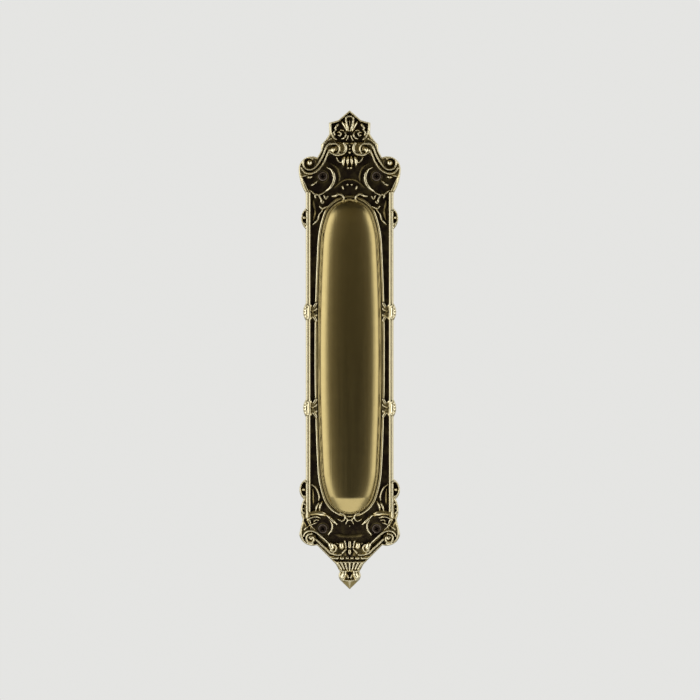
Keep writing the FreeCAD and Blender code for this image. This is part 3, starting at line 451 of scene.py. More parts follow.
def upper_field(relief):
    """Leaves, curls and strapwork round the upper screws."""
    relief.row = UPPER_ROW
    relief.stroke([(13.8, 5.4), (11.0, 3.6), (9.5, 0.2), (9.7, -3.4), (11.8, -7.0), (15.2, -9.5)],
                  0.95, 5.3, ends=(0.4, 0.5))
    relief.stroke([(11.4, 7.8), (8.0, 5.4), (6.4, 1.2), (6.6, -3.4), (7.6, -6.0)], 0.7, 2.5,
                  ends=(0.6, 0.6))
    relief.stroke([(0.0, -1.7), (3.4, -2.3), (6.4, -4.2), (9.2, -6.6)], 0.6, 2.55)
    relief.knob(1.25, -5.2, 0.9, 5.3)
    relief.leaf((3.7, -8.6), (4.6, -5.2), 1.3, 4.0)
    relief.stroke([(0.0, -14.0), (1.2, -14.1), (2.3, -14.6)], 0.55, 5.3)
    relief.stroke([(10.6, -12.2), (8.6, -12.0), (6.5, -10.9), (4.5, -11.7), (3.5, -13.5), (4.0, -15.0)],
                  0.75, 5.5, ends=(0.7, 0.8))
    relief.leaf((0.9, 12.4), (1.4, 6.2), 1.9, 5.4)
    relief.leaf((2.8, 12.2), (3.8, 5.8), 2.2, 5.4, 0.1)
    relief.stroke([(8.0, 11.2), (6.6, 8.9), (5.2, 8.3)], 0.45, 4.3)
    relief.knob(0.9, 4.9, 0.9, 5.3)
    relief.stroke([(25.4, -0.9), (23.2, -0.6)], 0.8, 5.5, ends=(0.7, 0.9), smooth=False)
    relief.stroke([(23.0, -5.6), (21.2, -4.6), (19.6, -2.9)], 0.6, 5.2, ends=(0.9, 0.6))
    relief.stroke([(15.2, -9.6), (17.6, -11.0), (20.4, -11.2), (24.4, -8.4)], 0.6, 4.2, ends=(1.0, 0.6))
    relief.stroke([(20.6, -13.2), (21.0, -11.8), (19.8, -11.0), (18.4, -12.2), (17.0, -14.8)], 0.55, 5.3)
    relief.stroke([(15.6, -11.8), (14.5, -13.8), (13.2, -12.2)], 0.5, 5.0)
    relief.stroke([(17.4, -15.4), (16.4, -16.3), (15.9, -15.4)], 0.6, 5.3)
    relief.stroke([(18.2, -18.2), (16.6, -19.6), (13.8, -18.4)], 0.62, 5.4, ends=(0.8, 0.6))
    relief.stroke([(16.2, -20.2), (18.4, -23.2), (19.4, -26.4), (22.2, -29.2)], 0.5, 4.6, ends=(0.6, 0.8))
    relief.leaf((22.2, -13.4), (20.6, -21.0), 2.4, 2.9, 0.06)
    relief.leaf((21.0, -19.6), (22.2, -27.2), 1.8, 3.0, -0.06)
    edge_scroll(relief, 27.5, -24.8, 4.2, 1.9)


def lower_field(relief):
    """Leaves, curls and strapwork round the lower screws."""
    relief.row = LOWER_ROW
    relief.stroke([(23.4, 27.2), (21.0, 25.4), (19.4, 22.8), (18.5, 19.4), (18.8, 17.2)], 0.5, 4.9,
                  ends=(0.7, 0.7))
    relief.leaf((16.6, 16.9), (18.3, 11.0), 1.5, 5.1, 0.06)
    relief.leaf((18.5, 16.4), (20.7, 10.6), 1.5, 4.9, 0.06)
    relief.leaf((22.4, 25.6), (22.0, 15.0), 1.6, 3.4)
    relief.stroke([(26.4, 7.8), (23.6, 9.2), (20.0, 9.7), (16.6, 9.2), (13.8, 8.2)], 1.8, 3.9,
                  ends=(0.7, 0.6))
    relief.stroke([(13.6, 8.2), (10.9, 5.7), (7.7, 2.8)], 0.85, 6.0, ends=(0.7, 0.7))
    relief.stroke([(12.3, 5.6), (10.6, 3.0), (10.9, -0.6), (13.0, -3.5)], 0.62, 5.0, ends=(0.5, 0.8))
    relief.stroke([(17.8, 6.6), (20.4, 7.4), (23.4, 6.8), (26.2, 5.0)], 0.5, 4.7, ends=(0.6, 0.9))
    relief.stroke([(20.0, 3.8), (22.2, 3.0), (24.8, 1.8), (27.4, -0.4)], 0.5, 4.8, ends=(0.6, 0.9))
    relief.stroke([(18.8, 5.2), (20.4, 5.6), (21.6, 4.6)], 0.45, 4.0)
    relief.stroke([(5.6, 9.6), (4.0, 9.0), (2.9, 7.6), (3.2, 5.8), (4.6, 4.9), (5.8, 5.2)], 0.5, 5.1)
    relief.stroke([(0.0, 5.4), (1.2, 5.7), (2.4, 6.6)], 0.5, 5.0)
    relief.stroke([(1.2, 5.2), (2.4, 3.0)], 0.45, 4.8, smooth=False)
    relief.leaf((7.6, 6.4), (6.0, 5.0), 0.9, 4.2)
    relief.knob(0.0, 1.8, 0.6, 4.6)
    relief.stroke([(0.0, -4.6), (4.0, -4.4), (8.9, -3.4)], 1.5, 2.5, ends=(1.0, 0.4))
    edge_scroll(relief, 27.9, 24.3, 4.8, 2.0)
    edge_scroll(relief, 28.1, 12.6, 3.0, 1.0)


def lower_scrolls(relief):
    """Volutes at the hips and the scrolls that run from them to the pendant."""
    relief.row = LOWER_ROW
    relief.sink(volute((23.6, -5.8), 0.0, 1.0, 4.0, 4.0), 0.9, 1.2)
    relief.sink([(27.0, 5.4), (25.6, 2.6), (24.6, 0.8)], 1.3, 1.1)
    relief.stroke([(28.9, 4.6), (29.4, 0.6), (29.6, -3.2), (28.2, -6.8), (25.4, -9.0), (22.4, -9.0)],
                  0.85, 5.3, LAND - 0.6, ends=(0.6, 0.8))
    relief.stroke([(12.8, -8.6), (15.2, -6.3), (18.2, -3.6), (21.0, -1.6), (24.0, -1.0), (26.8, -2.2),
                   (28.0, -4.4)], 0.65, 6.0, LAND - 0.4, ends=(0.8, 0.7))
    relief.stroke(volute((23.5, -5.9), 100.0, -1.15, 3.2, 1.1), 0.65, 6.1, LAND - 0.8, smooth=False)
    relief.knob(23.4, -5.8, 1.1, 6.3, LAND - 0.8)
    relief.stroke([(20.4, -6.2), (18.4, -8.2), (15.4, -10.9), (12.4, -13.8), (10.2, -15.0)], 0.65, 5.9,
                  LAND - 0.4)
    relief.sink([(20.0, -4.4), (16.8, -7.4), (13.6, -10.4)], 0.7, 0.9)
    relief.stroke([(11.5, -9.7), (10.9, -11.2)], 2.0, 6.5, LAND - 0.6, smooth=False, crown=0.8)
    relief.stroke([(5.1, -9.4), (4.9, -10.8)], 1.75, 6.4, LAND - 0.6, smooth=False, crown=0.8)
    relief.sink([(8.6, -8.6), (7.0, -10.6), (8.8, -12.6)], 0.6, 1.0)
    relief.stroke([(9.2, -9.4), (8.2, -10.8), (8.3, -12.6), (9.8, -13.6), (11.6, -12.9)], 0.6, 5.8,
                  LAND - 0.6)
    relief.stroke([(12.0, -14.6), (8.8, -15.4), (5.6, -15.6)], 0.7, 5.2, LAND)


def pendant(relief, inside):
    """Hanging end: a stem, a row of beads, a fluted cup, an acorn and its plain tip."""
    relief.row = LOWER_ROW
    relief.sink([(0.0, -9.0), (0.0, -15.4)], 3.2, 1.2)
    relief.stroke([(0.0, -7.8), (0.0, -11.0)], 0.85, 5.9, LAND - 0.8, smooth=False)
    relief.stroke([(0.0, -12.9), (0.0, -14.7)], 0.85, 5.8, LAND - 0.8, smooth=False)
    relief.stroke([(3.0, -7.2), (2.5, -9.4), (2.2, -11.2)], 0.5, 5.0, LAND - 0.8)
    relief.stroke([(4.4, -14.6), (2.3, -12.2)], 0.5, 5.0, LAND - 0.8, smooth=False)
    relief.sink([(0.0, -17.4), (11.8, -17.4)], 1.2, 0.8)
    relief.stroke([(7.4, -17.5), (11.4, -17.3)], 0.9, 6.0, LAND - 0.6, smooth=False)
    relief.stroke([(4.0, -17.6), (5.2, -17.6)], 0.9, 6.0, LAND - 0.6, smooth=False)
    relief.stroke([(1.1, -17.5), (1.8, -17.5)], 0.75, 5.6, LAND - 0.6, smooth=False)
    relief.sink([(0.0, -19.0), (10.4, -19.0)], 0.5, 0.8)
    relief.stroke([(0.0, -20.0), (8.8, -20.0)], 0.5, 4.9, LAND, smooth=False)
    relief.sink([(0.0, -23.2), (6.0, -23.2)], 2.2, 0.8)
    for top, foot in ((0.0, 0.0), (2.6, 1.5), (5.0, 3.1), (7.2, 4.6)):
        relief.stroke([(top, -20.8), (foot, -24.9)], 0.65, 5.2, LAND - 0.8, (1.0, 0.75), smooth=False)
    relief.stroke([(0.0, -25.6), (5.4, -25.4)], 0.6, 4.6, LAND, smooth=False)
    relief.stroke([(2.4, -25.5), (4.8, -25.3)], 0.7, 5.7, LAND, smooth=False)
    relief.sink([(0.0, -27.0), (0.0, -30.0)], 1.8, 1.2)
    relief.stroke([(3.3, -27.4), (4.2, -29.0)], 2.1, 6.3, LAND - 1.0, smooth=False, crown=0.9)
    relief.stroke([(1.4, -27.6), (0.7, -29.6)], 0.5, 4.6, LAND - 1.2, smooth=False)
    relief.stroke([(0.0, -31.1), (3.0, -30.9), (5.4, -30.2)], 0.5, 5.4, LAND - 1.0)
    tip_slope = 0.62
    on_tip = relief.z < LOWER_ROW + TIP_TOP
    relief.height = np.where(on_tip, EDGE + tip_slope * inside, relief.height)


def screw_seats(relief):
    """Countersinks that take the screws' heads: cones of 45 degrees."""
    seat_radius, cone_drop = 3.5, 1.34
    for row in (UPPER_ROW, LOWER_ROW):
        away = np.hypot(relief.reach - SCREW_REACH, relief.z - row)
        cone = np.minimum(relief.height, away - cone_drop)
        relief.height = np.where(away < seat_radius, cone, relief.height)


def front_height(x, z):
    """Height of the front over the back: the whole relief, with a rounded fall at the plate's edge."""
    relief = Relief(np.abs(x), z)
    inside = depth_inside(x, z)
    land_and_fields(relief)
    rim_line(relief, inside)
    cushion_and_beads(relief)
    rails_and_ties(relief)
    crest(relief)
    upper_scrolls(relief)
    upper_field(relief)
    lower_field(relief)
    lower_scrolls(relief)
    pendant(relief, inside)
    screw_seats(relief)
    edge_width, edge_power, thinnest = 0.8, 0.7, 0.6
    free = LAND + 4.0
    limit = EDGE + (free - EDGE) * smooth_step(0.0, edge_width, inside) ** edge_power
    return np.clip(np.minimum(relief.height, limit), thinnest, CUSHION_TOP)


# Mesh of the casting

def graded(low, high, step):
    """Even spacing from low to high, close to the step."""
    return np.linspace(low, high, max(2, int(round((high - low) / step)) + 1))


def grid_rows():
    """Heights of the grid's rows: close in the carving and at the ties, far apart between them."""
    ends = [LOWER_ROW + TIP_FOOT, -74.0, -41.0, -26.0, 17.0, 32.0, 72.0, UPPER_ROW + CREST_TOP]
    steps = [FINE_STEP, FAR_STEP, FINE_STEP, FAR_STEP, FINE_STEP, FAR_STEP, FINE_STEP]
    parts = [graded(low, high, step) for low, high, step in zip(ends, ends[1:], steps)]
    return np.concatenate([parts[0]] + [part[1:] for part in parts[1:]])


def front_grid():
    """Vertices (x, z) and quads of the front, trimmed to the outline and the bores, and its rims."""
    half_width, bore, overhang = 31.6, 1.55, 0.02
    x, z = np.meshgrid(graded(-half_width, half_width, FINE_STEP), grid_rows())

    def signed(at_x, at_z):
        inside = depth_inside(at_x, at_z)
        for row in (UPPER_ROW, LOWER_ROW):
            inside = np.minimum(inside, np.hypot(np.abs(at_x) - SCREW_REACH, at_z - row) - bore)
        return inside

    kept = signed(x, z) > -overhang
    whole = kept[:-1, :-1] & kept[1:, :-1] & kept[:-1, 1:] & kept[1:, 1:]
    number = np.arange(x.size).reshape(x.shape)
    corners = [number[:-1, :-1], number[:-1, 1:], number[1:, 1:], number[1:, :-1]]
    used, quads = np.unique(np.stack(corners, axis=-1)[whole], return_inverse=True)
    quads = quads.reshape(-1, 4)
    places = np.stack([x.ravel()[used], z.ravel()[used]], axis=1)
    rims = boundary_loops(quads)
    edge = np.unique(np.concatenate(rims))
    probe, flattest, furthest, rounds = 0.02, 0.3, 0.4, 4
    for attempt in range(rounds):
        at_x, at_z = places[edge].T
        slope_x = (signed(at_x + probe, at_z) - signed(at_x - probe, at_z)) / (2 * probe)
        slope_z = (signed(at_x, at_z + probe) - signed(at_x, at_z - probe)) / (2 * probe)
        steepness = np.maximum(slope_x ** 2 + slope_z ** 2, flattest)
        shift = np.stack([slope_x, slope_z], axis=1) * (signed(at_x, at_z) / steepness)[:, None]
        places[edge] -= np.clip(shift, -furthest, furthest)
    return places, quads, rims


def boundary_loops(quads):
    """Loops of vertices round the edges that belong to one quad only."""
    edges = np.concatenate([quads[:, [0, 1]], quads[:, [1, 2]], quads[:, [2, 3]], quads[:, [3, 0]]])
    keys = np.sort(edges, axis=1)
    names = keys[:, 0].astype(np.int64) * (keys.max() + 1) + keys[:, 1]
    first, count = np.unique(names, return_index=True, return_counts=True)[1:]
    following = {}
    for start, end in edges[first[count == 1]].tolist():
        following.setdefault(start, []).append(end)
    loops = []
    while following:
        at = next(iter(following))
        loop = []
        while at in following:
            loop.append(at)
            ends = following[at]
            step = ends.pop()
            if not ends:
                del following[at]
            at = step
        loops.append(np.array(loop))
    return loops


def hollow_outline():
    """Edge of the hollow in the back, inside the cushion's plan by the width of a wall."""
    wall, sides, furthest, halvings = 3.6, 96, 120.0, 40
    points = []
    for angle in np.linspace(0.0, 2 * math.pi, sides, endpoint=False):
        direction = np.array([math.cos(angle), math.sin(angle)])
        low, high = 0.0, furthest
        for halving in range(halvings):
            middle = (low + high) / 2
            spot = direction * middle
            if cushion_margin(abs(spot[0]), spot[1] - CUSHION_DROP) < -wall:
                low = middle
            else:
                high = middle
        points.append(direction * low - [0.0, CUSHION_DROP])
    return np.array(points)


def band(first, second):
    """Quads between two closed rings of vertex numbers."""
    return np.stack([np.roll(first, -1), first, second, np.roll(second, -1)], axis=1).tolist()


def build_plate():
    """Closed mesh of the casting: carved front, edge, back and the hollow behind the cushion."""
    places, quads, rims = front_grid()
    height = front_height(places[:, 0], places[:, 1])
    sheets = [np.stack([places[:, 0], -height, places[:, 1]], axis=1)]
    faces = quads.tolist()

    def add_ring(outline, level):
        """Adds points at one height over the back and gives their numbers."""
        start = sum(len(sheet) for sheet in sheets)
        sheets.append(np.stack([outline[:, 0], np.full(len(outline), -level), outline[:, 1]], axis=1))
        return np.arange(start, start + len(outline))

    hollow_depth = 3.9
    outlines = [places[rim] for rim in rims] + [hollow_outline()]
    back_rings = [add_ring(outline, 0.0) for outline in outlines]
    hollow_floor = add_ring(outlines[-1], hollow_depth)
    for rim, ring in zip(rims, back_rings):
        faces += band(rim, ring)
    faces += band(hollow_floor, back_rings[-1])
    faces.append(hollow_floor.tolist())
    flat = [[Vector((x, z, 0.0)) for x, z in outline] for outline in outlines]
    numbers = np.concatenate(back_rings)
    faces += [numbers[list(triangle)].tolist() for triangle in tessellate_polygon(flat)]
    mesh = bpy.data.meshes.new("carved_plate")
    mesh.from_pydata((np.concatenate(sheets) * MM).tolist(), [], faces)
    mesh.validate()
    mesh.update()
    return mesh, places, height


def face_outward(mesh):
    """Turns every face's normal outward."""
    work = bmesh.new()
    work.from_mesh(mesh)
    bmesh.ops.recalc_face_normals(work, faces=work.faces)
    work.to_mesh(mesh)
    work.free()


plate_mesh, plate_places, plate_height = build_plate()
face_outward(plate_mesh)
front_count = len(plate_places)
for polygon in plate_mesh.polygons:
    polygon.use_smooth = max(polygon.vertices) < front_count
plate = bpy.data.objects.new("carved_plate", plate_mesh)
bpy.context.scene.collection.objects.link(plate)
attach(plate, "root")
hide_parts("finger_plate")


# Finish

def blurred(field, radius):
    """Mean of a grid over a square window, taken twice."""
    window = 2 * radius + 1
    for axis in (0, 1, 0, 1):
        padding = [(0, 0), (0, 0)]
        padding[axis] = (radius + 1, radius)
        sums = np.cumsum(np.pad(field, padding, mode="edge"), axis=axis)
        field = (np.take(sums, range(window, sums.shape[axis]), axis=axis)
                 - np.take(sums, range(0, sums.shape[axis] - window), axis=axis)) / window
    return field


def sampled(field, columns, rows, x, z):
    """Bilinear value of a grid at points, which are kept just inside its last row and column."""
    inside = 1.001
    across = np.clip((x - columns[0]) / (columns[1] - columns[0]), 0, len(columns) - inside)
    up = np.clip((z - rows[0]) / (rows[1] - rows[0]), 0, len(rows) - inside)
    column = across.astype(int)
    row = up.astype(int)
    dx = across - column
    dz = up - row
    low = field[row, column] * (1 - dx) + field[row, column + 1] * dx
    high = field[row + 1, column] * (1 - dx) + field[row + 1, column + 1] * dx
    return low * (1 - dz) + high * dz


def polish_of(x, z, height):
    """How bright hand and buffing wheel keep the brass: 1 on the ridges, 0 in the dark recesses. The
    second value is 1 on the cushion."""
    step, near_cells, wide_cells = 0.4, 2, 6
    columns = np.arange(-32.0, 32.01, step)
    rows = np.arange(-144.0, 147.51, step)
    field = front_height(*np.meshgrid(columns, rows))
    near = sampled(blurred(field, near_cells), columns, rows, x, z)
    wide = sampled(blurred(field, wide_cells), columns, rows, x, z)
    proud = smooth_step(-0.55, 0.75, (height - near) * 1.2 + (height - wide) * 0.35)
    level = smooth_step(GROUND - 0.1, GROUND + 2.6, height)
    worn = np.clip(0.55 * level + 0.75 * proud - 0.22, 0.0, 1.0)
    rim = RIM_POLISH * (1.0 - smooth_step(0.5, 1.3, depth_inside(x, z)))
    worn = np.maximum(worn, rim)
    worn = np.where(z < LOWER_ROW + TIP_TOP, np.maximum(worn, TIP_POLISH), worn)
    on_cushion = smooth_step(1.5, 0.6, cushion_margin(np.abs(x), z))
    return worn * (1 - on_cushion) + CUSHION_POLISH * on_cushion, on_cushion


def add_attribute(mesh, name, values, rest=0.0):
    """Value at each vertex; those past the end of the list, on the back, get the rest value."""
    attribute = mesh.attributes.new(name, "FLOAT", "POINT")
    padded = np.full(len(mesh.vertices), rest, dtype=np.float32)
    padded[:len(values)] = values
    attribute.data.foreach_set("value", padded)


class Nodes:
    """Short way to write a metal's nodes."""

    def __init__(self, name):
        self.material = bpy.data.materials.new(name)
        self.material.use_nodes = True
        self.tree = self.material.node_tree
        self.shader = self.tree.nodes["Principled BSDF"]
        self.shader.inputs["Metallic"].default_value = 1.0

    def add(self, kind, settings=None, **inputs):
        node = self.tree.nodes.new(kind)
        for name, setting in (settings or {}).items():
            setattr(node, name, setting)
        for name, value in inputs.items():
            self.feed(node.inputs[name.replace("_", " ")], value)
        return node

    def feed(self, socket, value):
        """Links a socket's value, or sets a plain one."""
        if isinstance(value, bpy.types.NodeSocket):
            self.tree.links.new(value, socket)
        else:
            socket.default_value = value

    def shade(self, name, value):
        self.feed(self.shader.inputs[name], value)

    def attribute(self, name):
        return self.add("ShaderNodeAttribute", {"attribute_name": name}).outputs["Fac"]

    def math(self, operation, first, second):
        node = self.add("ShaderNodeMath", {"operation": operation})
        self.feed(node.inputs[0], first)
        self.feed(node.inputs[1], second)
        return node.outputs[0]

    def noise(self, scale, detail, stretch=(1.0, 1.0, 1.0)):
        place = self.add("ShaderNodeTexCoord").outputs["Object"]
        stretched = self.add("ShaderNodeMapping", Vector=place, Scale=stretch).outputs["Vector"]
        return self.add("ShaderNodeTexNoise", Vector=stretched, Scale=scale, Detail=detail).outputs["Fac"]

    def ramp(self, factor, stops):
        node = self.add("ShaderNodeValToRGB", Fac=factor)
        bar = node.color_ramp
        while len(bar.elements) < len(stops):
            bar.elements.new(0.5)
        for element, (place, colour) in zip(bar.elements, stops):
            element.position = place
            element.color = (*colour, 1.0)
        return node.outputs["Color"]

    def spread(self, value, low, high):
        """Stretches a value from 0 to 1 between two others."""
        return self.add("ShaderNodeMapRange", Value=value, To_Min=low, To_Max=high).outputs["Result"]


def antique_brass():
    """Brass with dark patina in its recesses, buffed ridges and a cushion brushed up and down. Large
    lighter olive patches in the patina are partly uneven patina and partly painted olive glints.
    """
    nodes = Nodes("antique_brass_look")
    polish = nodes.attribute("polish")
    cushion = nodes.attribute("cushion")
    mottle = nodes.noise(scale=420.0, detail=4.0)
    # Large lighter patches: uneven patina, and painted olive glints in the dark ground.
    olive_blotches_and_glints = nodes.noise(scale=190.0, detail=2.0)
    brushing = nodes.noise(scale=1500.0, detail=3.0, stretch=(1.0, 1.0, 0.012))
    even_cushion, even_ridges = 0.92, 0.9
    buffed = nodes.math("MULTIPLY", nodes.math("POWER", polish, 0.5), even_ridges)
    even = nodes.math("MAXIMUM", nodes.math("MULTIPLY", cushion, even_cushion), buffed)
    uneven = nodes.math("SUBTRACT", 1.0, even)
    # Fine mottle and the large patches lighten the dark patina; the large patches are partly painted olive
    # glints.
    patina = nodes.math("ADD", nodes.spread(mottle, -0.05, 0.05), nodes.spread(olive_blotches_and_glints, -0.42, 0.5))
    bright = nodes.math("ADD", polish, nodes.math("MULTIPLY", patina, uneven))
    tones = [
        (0.0, (0.026, 0.018, 0.013)),
        (0.3, (0.085, 0.066, 0.029)),
        (0.6, (0.345, 0.27, 0.113)),
        (0.8, (0.52, 0.42, 0.19)),
        (1.0, (0.92, 0.83, 0.56)),
    ]
    nodes.shade("Base Color", nodes.ramp(bright, tones))
    rough = nodes.spread(polish, low=0.52, high=0.2)
    streaks = nodes.math("MULTIPLY", nodes.spread(brushing, low=-0.09, high=-0.01), cushion)
    nodes.shade("Roughness", nodes.math("ADD", rough, streaks))
    pits = nodes.math("MULTIPLY", mottle, nodes.math("SUBTRACT", 1.0, cushion))
    lines = nodes.math("MULTIPLY", brushing, cushion)
    grain = nodes.math("ADD", pits, lines)
    bump = nodes.add("ShaderNodeBump", Height=grain, Strength=0.1, Distance=0.2 * MM)
    nodes.shade("Normal", bump.outputs["Normal"])
    return nodes.material


def dark_screw():
    """Browned steel, rubbed lighter on the thread's crest, with a painted highlight ring round the head's
    rim.
    """
    nodes = Nodes("dark_screw_look")
    mottle = nodes.noise(scale=900.0, detail=3.0)
    # The polish attribute carries the rubbing on the thread and the painted highlight ring on the heads.
    wear_and_highlight = nodes.math("ADD", nodes.attribute("polish"), nodes.spread(mottle, low=-0.12, high=0.12))
    tones = [
        (0.0, (0.012, 0.008, 0.006)),
        (0.4, (0.085, 0.062, 0.045)),
        (1.0, (0.36, 0.3, 0.25)),
    ]
    nodes.shade("Base Color", nodes.ramp(wear_and_highlight, tones))
    nodes.shade("Roughness", nodes.spread(mottle, low=0.38, high=0.55))
    return nodes.material


plate_polish, plate_cushion = polish_of(plate_places[:, 0], plate_places[:, 1], plate_height)
add_attribute(plate_mesh, "polish", plate_polish, BACK_POLISH)
add_attribute(plate_mesh, "cushion", plate_cushion)
plate_mesh.materials.append(antique_brass())


# Screws

def screw_shape():
    """Surface of one wood screw from the middle of its head to its point: reach from its axis, height
    over the back of the plate and angle, the lightness of its colour (rubbed on the thread's crest and a
    painted highlight ring at the head's rim), and the heights of the slot's floor and the point."""
    head, shank, core, blunt = 2.7, 1.3, 0.95, 0.06
    edge, chamfer, dome, dome_drop = 0.25, 0.12, 0.14, 0.1
    length, plain, point, pitch = 19.0, 4.0, 1.8, 1.15
    sides, face_rings, cone_rings, shank_rings, thread_step = 48, 34, 8, 6, 0.1
    top = edge + head - shank
    tip = top - length
    face = np.linspace(0.0, head - chamfer, face_rings)[1:]
    thread = np.arange(-plain, tip + point, -thread_step)
    reach = np.concatenate([
        face, [head, head], np.linspace(head, shank, cone_rings)[1:],
        np.full(shank_rings - 1 + len(thread), shank), np.linspace(shank, blunt, cone_rings)[1:]])
    height = np.concatenate([
        top - dome_drop + dome * (1.0 - (face / head) ** 2), [top - chamfer, top - edge],
        np.linspace(top - edge, 0.0, cone_rings)[1:], np.linspace(0.0, -plain, shank_rings)[1:],
        thread, np.linspace(tip + point, tip, cone_rings)[1:]])
    reach = np.repeat(reach[:, None], sides, axis=1)
    height = np.repeat(height[:, None], sides, axis=1)
    angle = np.linspace(0.0, 2.0 * math.pi, sides, endpoint=False)
    angle = np.repeat(angle[None, :], len(reach), axis=0)

    threaded = (height < -plain) & (reach > core)
    phase = (height / pitch + angle / (2.0 * math.pi)) % 1.0
    thread_slope = 3.0
    crest_share = np.clip(1.0 - np.abs(phase - 0.5) * thread_slope, 0.0, 1.0)
    reach = np.where(threaded, np.minimum(reach, core + (shank - core) * crest_share), reach)
    bright = np.where(threaded, 0.2 + 0.6 * crest_share, 0.35)
    on_face = height > top - edge - 0.01
    # Painted highlight: the colour lightens to a ring round the rim of the head.
    highlight_ring_start, highlight_ring_full = 1.9, 2.5
    bright = np.where(on_face, 0.3 + 0.7 * smooth_step(highlight_ring_start, highlight_ring_full, reach), bright)

    arm_half_width, arm_length, slot_depth = 0.36, 1.35, 0.9

    def arm(beside, along):
        wall = smooth_step(arm_half_width + 0.12, arm_half_width - 0.06, beside)
        return wall * smooth_step(arm_length, arm_length - 0.35, along)

    across = np.abs(reach * np.cos(angle))
    up = np.abs(reach * np.sin(angle))
    cross = np.where(on_face, np.maximum(arm(across, up), arm(up, across)), 0.0)
    height = height - slot_depth * cross
    bright = bright * (1.0 - 0.95 * cross)
    return reach, height, angle, bright, top - slot_depth, tip


def build_screws():
    """Mesh of the four screws, each turned to where its slot came to rest, and the lightness of their
    colour, with the painted highlight ring on each head.
    """
    reach, height, angle, bright, slot_floor, tip = screw_shape()
    rows, sides = reach.shape
    vertices = []
    wear_and_highlight = []
    faces = []
    floor_wear, tip_wear = 0.0, 0.6
    turns = (14.0, 4.0, 38.0, 22.0)
    places = [(side * SCREW_REACH, row) for row in (UPPER_ROW, LOWER_ROW) for side in (-1, 1)]
    for (x, z), turn in zip(places, turns):
        start = len(wear_and_highlight)
        turned = angle + math.radians(turn)
        points = np.stack([x + reach * np.cos(turned), -height, z + reach * np.sin(turned)], axis=-1)
        vertices.extend(points.reshape(-1, 3).tolist() + [[x, -slot_floor, z], [x, -tip, z]])
        wear_and_highlight.extend(bright.ravel().tolist() + [floor_wear, tip_wear])
        middle = start + rows * sides
        last = start + (rows - 1) * sides
        for side in range(sides):
            following = (side + 1) % sides
            faces.append([middle, start + side, start + following])
            faces.append([middle + 1, last + following, last + side])
            for row in range(rows - 1):
                near = start + row * sides
                faces.append([near + side, near + sides + side, near + sides + following, near + following])
    mesh = bpy.data.meshes.new("wood_screws")
    mesh.from_pydata((np.array(vertices) * MM).tolist(), [], faces)
    mesh.update()
    face_outward(mesh)
    for polygon in mesh.polygons:
        polygon.use_smooth = True
    # The polish attribute also carries the painted highlight ring on the heads.
    add_attribute(mesh, "polish", wear_and_highlight)
    return mesh


screws_mesh = build_screws()
screws_mesh.materials.append(dark_screw())
screws = bpy.data.objects.new("wood_screws", screws_mesh)
bpy.context.scene.collection.objects.link(screws)
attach(screws, "root")
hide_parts("fixing_screws")


# Stage

def card_material(name, colour):
    """Matt colour of a card."""
    material = bpy.data.materials.new(name)
    material.use_nodes = True
    shader = material.node_tree.nodes["Principled BSDF"]
    shader.inputs["Base Color"].default_value = (*colour, 1.0)
    shader.inputs["Roughness"].default_value = 0.9
    return material


def add_card(name, place, aim, size, colour, seen=False):
    """Flat card of the studio: the floor, or a dark or half-tone card that only reflections show."""
    width, length = size
    corners = [(-width / 2, -length / 2, 0), (width / 2, -length / 2, 0), (width / 2, length / 2, 0),
               (-width / 2, length / 2, 0)]
    mesh = bpy.data.meshes.new(name)
    mesh.from_pydata(corners, [], [(0, 1, 2, 3)])
    mesh.materials.append(card_material(f"{name}_colour", colour))
    card = bpy.data.objects.new(name, mesh)
    card.location = place
    card.rotation_euler = (Vector(aim) - Vector(place)).to_track_quat("Z", "Y").to_euler()
    card.visible_camera = seen
    card.visible_shadow = seen
    bpy.context.scene.collection.objects.link(card)


def add_light(name, place, aim, size, power):
    """Soft box that the camera doesn't see."""
    light = bpy.data.lights.new(name, "AREA")
    light.shape = "RECTANGLE"
    light.size, light.size_y = size
    light.energy = power
    lamp = bpy.data.objects.new(name, light)
    lamp.location = place
    lamp.rotation_euler = (Vector(aim) - Vector(place)).to_track_quat("-Z", "Y").to_euler()
    lamp.visible_camera = False
    bpy.context.scene.collection.objects.link(lamp)


def add_camera():
    """Long lens straight at the plate, with the photograph's framing."""
    camera = bpy.data.cameras.new("camera")
    holder = bpy.data.objects.new("camera", camera)
    camera.sensor_width = 36.0
    camera.lens = 150.0
    pixels = 700
    pixel_size = 0.605 * MM
    distance = pixels * pixel_size / (camera.sensor_width / camera.lens)
    aim_x, aim_front, aim_z = 0.0002, 0.004, 0.00157
    holder.location = (aim_x, -distance - aim_front, aim_z)
    holder.rotation_euler = (math.radians(90.0), 0.0, 0.0)
    bpy.context.scene.collection.objects.link(holder)
    bpy.context.scene.camera = holder


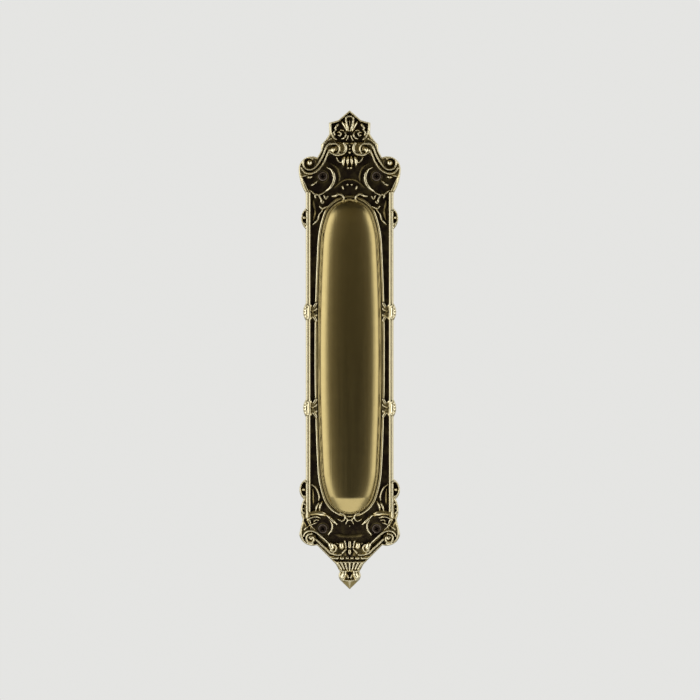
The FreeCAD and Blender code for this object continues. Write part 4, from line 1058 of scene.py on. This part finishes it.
def set_world():
    """Pale surround that the camera and the metal's reflections see, with a softer light on the rest."""
    soft, shown = 0.45, 0.85
    world = bpy.data.worlds.new("studio")
    world.use_nodes = True
    tree = world.node_tree
    background = tree.nodes["Background"]
    background.inputs["Color"].default_value = (0.92, 0.92, 0.9, 1.0)
    path = tree.nodes.new("ShaderNodeLightPath")
    seen = path.outputs["Is Camera Ray"]
    for name in ("Is Glossy Ray", "Is Transmission Ray"):
        either = tree.nodes.new("ShaderNodeMath")
        either.operation = "MAXIMUM"
        tree.links.new(seen, either.inputs[0])
        tree.links.new(path.outputs[name], either.inputs[1])
        seen = either.outputs[0]
    strength = tree.nodes.new("ShaderNodeMapRange")
    tree.links.new(seen, strength.inputs["Value"])
    strength.inputs["To Min"].default_value = soft
    strength.inputs["To Max"].default_value = shown
    tree.links.new(strength.outputs["Result"], background.inputs["Strength"])
    bpy.context.scene.world = world


centre = (0.0, 0.0, 0.0)
add_card("floor", place=(0.0, 0.0, -0.6), aim=(0.0, 0.0, 1.0), size=(6.0, 6.0),
         colour=(0.82, 0.82, 0.8), seen=True)
add_card("front_flag", place=(0.09, -2.3, -0.66), aim=(0.09, 0.0, -0.66), size=(1.12, 1.5),
         colour=(0.03, 0.025, 0.012))
add_card("upper_flag", place=(0.09, -2.3, 1.05), aim=(0.09, 0.0, 1.05), size=(1.12, 1.92),
         colour=(0.36, 0.31, 0.19))
add_card("right_card", place=(0.93, -2.12, 0.3), aim=centre, size=(0.62, 3.4), colour=(0.3, 0.25, 0.155))
add_card("left_card", place=(-0.9, -2.1, 0.3), aim=centre, size=(0.95, 3.4), colour=(0.48, 0.42, 0.28))
add_card("top_flag", place=(0.0, -0.9, 1.6), aim=centre, size=(3.0, 1.8), colour=(0.14, 0.12, 0.075))
add_light("left_box", place=(-0.82, -0.66, 0.05), aim=centre, size=(0.86, 1.1), power=3.4)
add_light("right_box", place=(0.85, -0.62, 0.05), aim=centre, size=(0.6, 1.1), power=2.0)
add_light("low_box", place=(0.0, -0.56, -0.5), aim=centre, size=(0.9, 0.35), power=1.1)
add_camera()
set_world()
bpy.context.scene.view_settings.view_transform = "Standard"
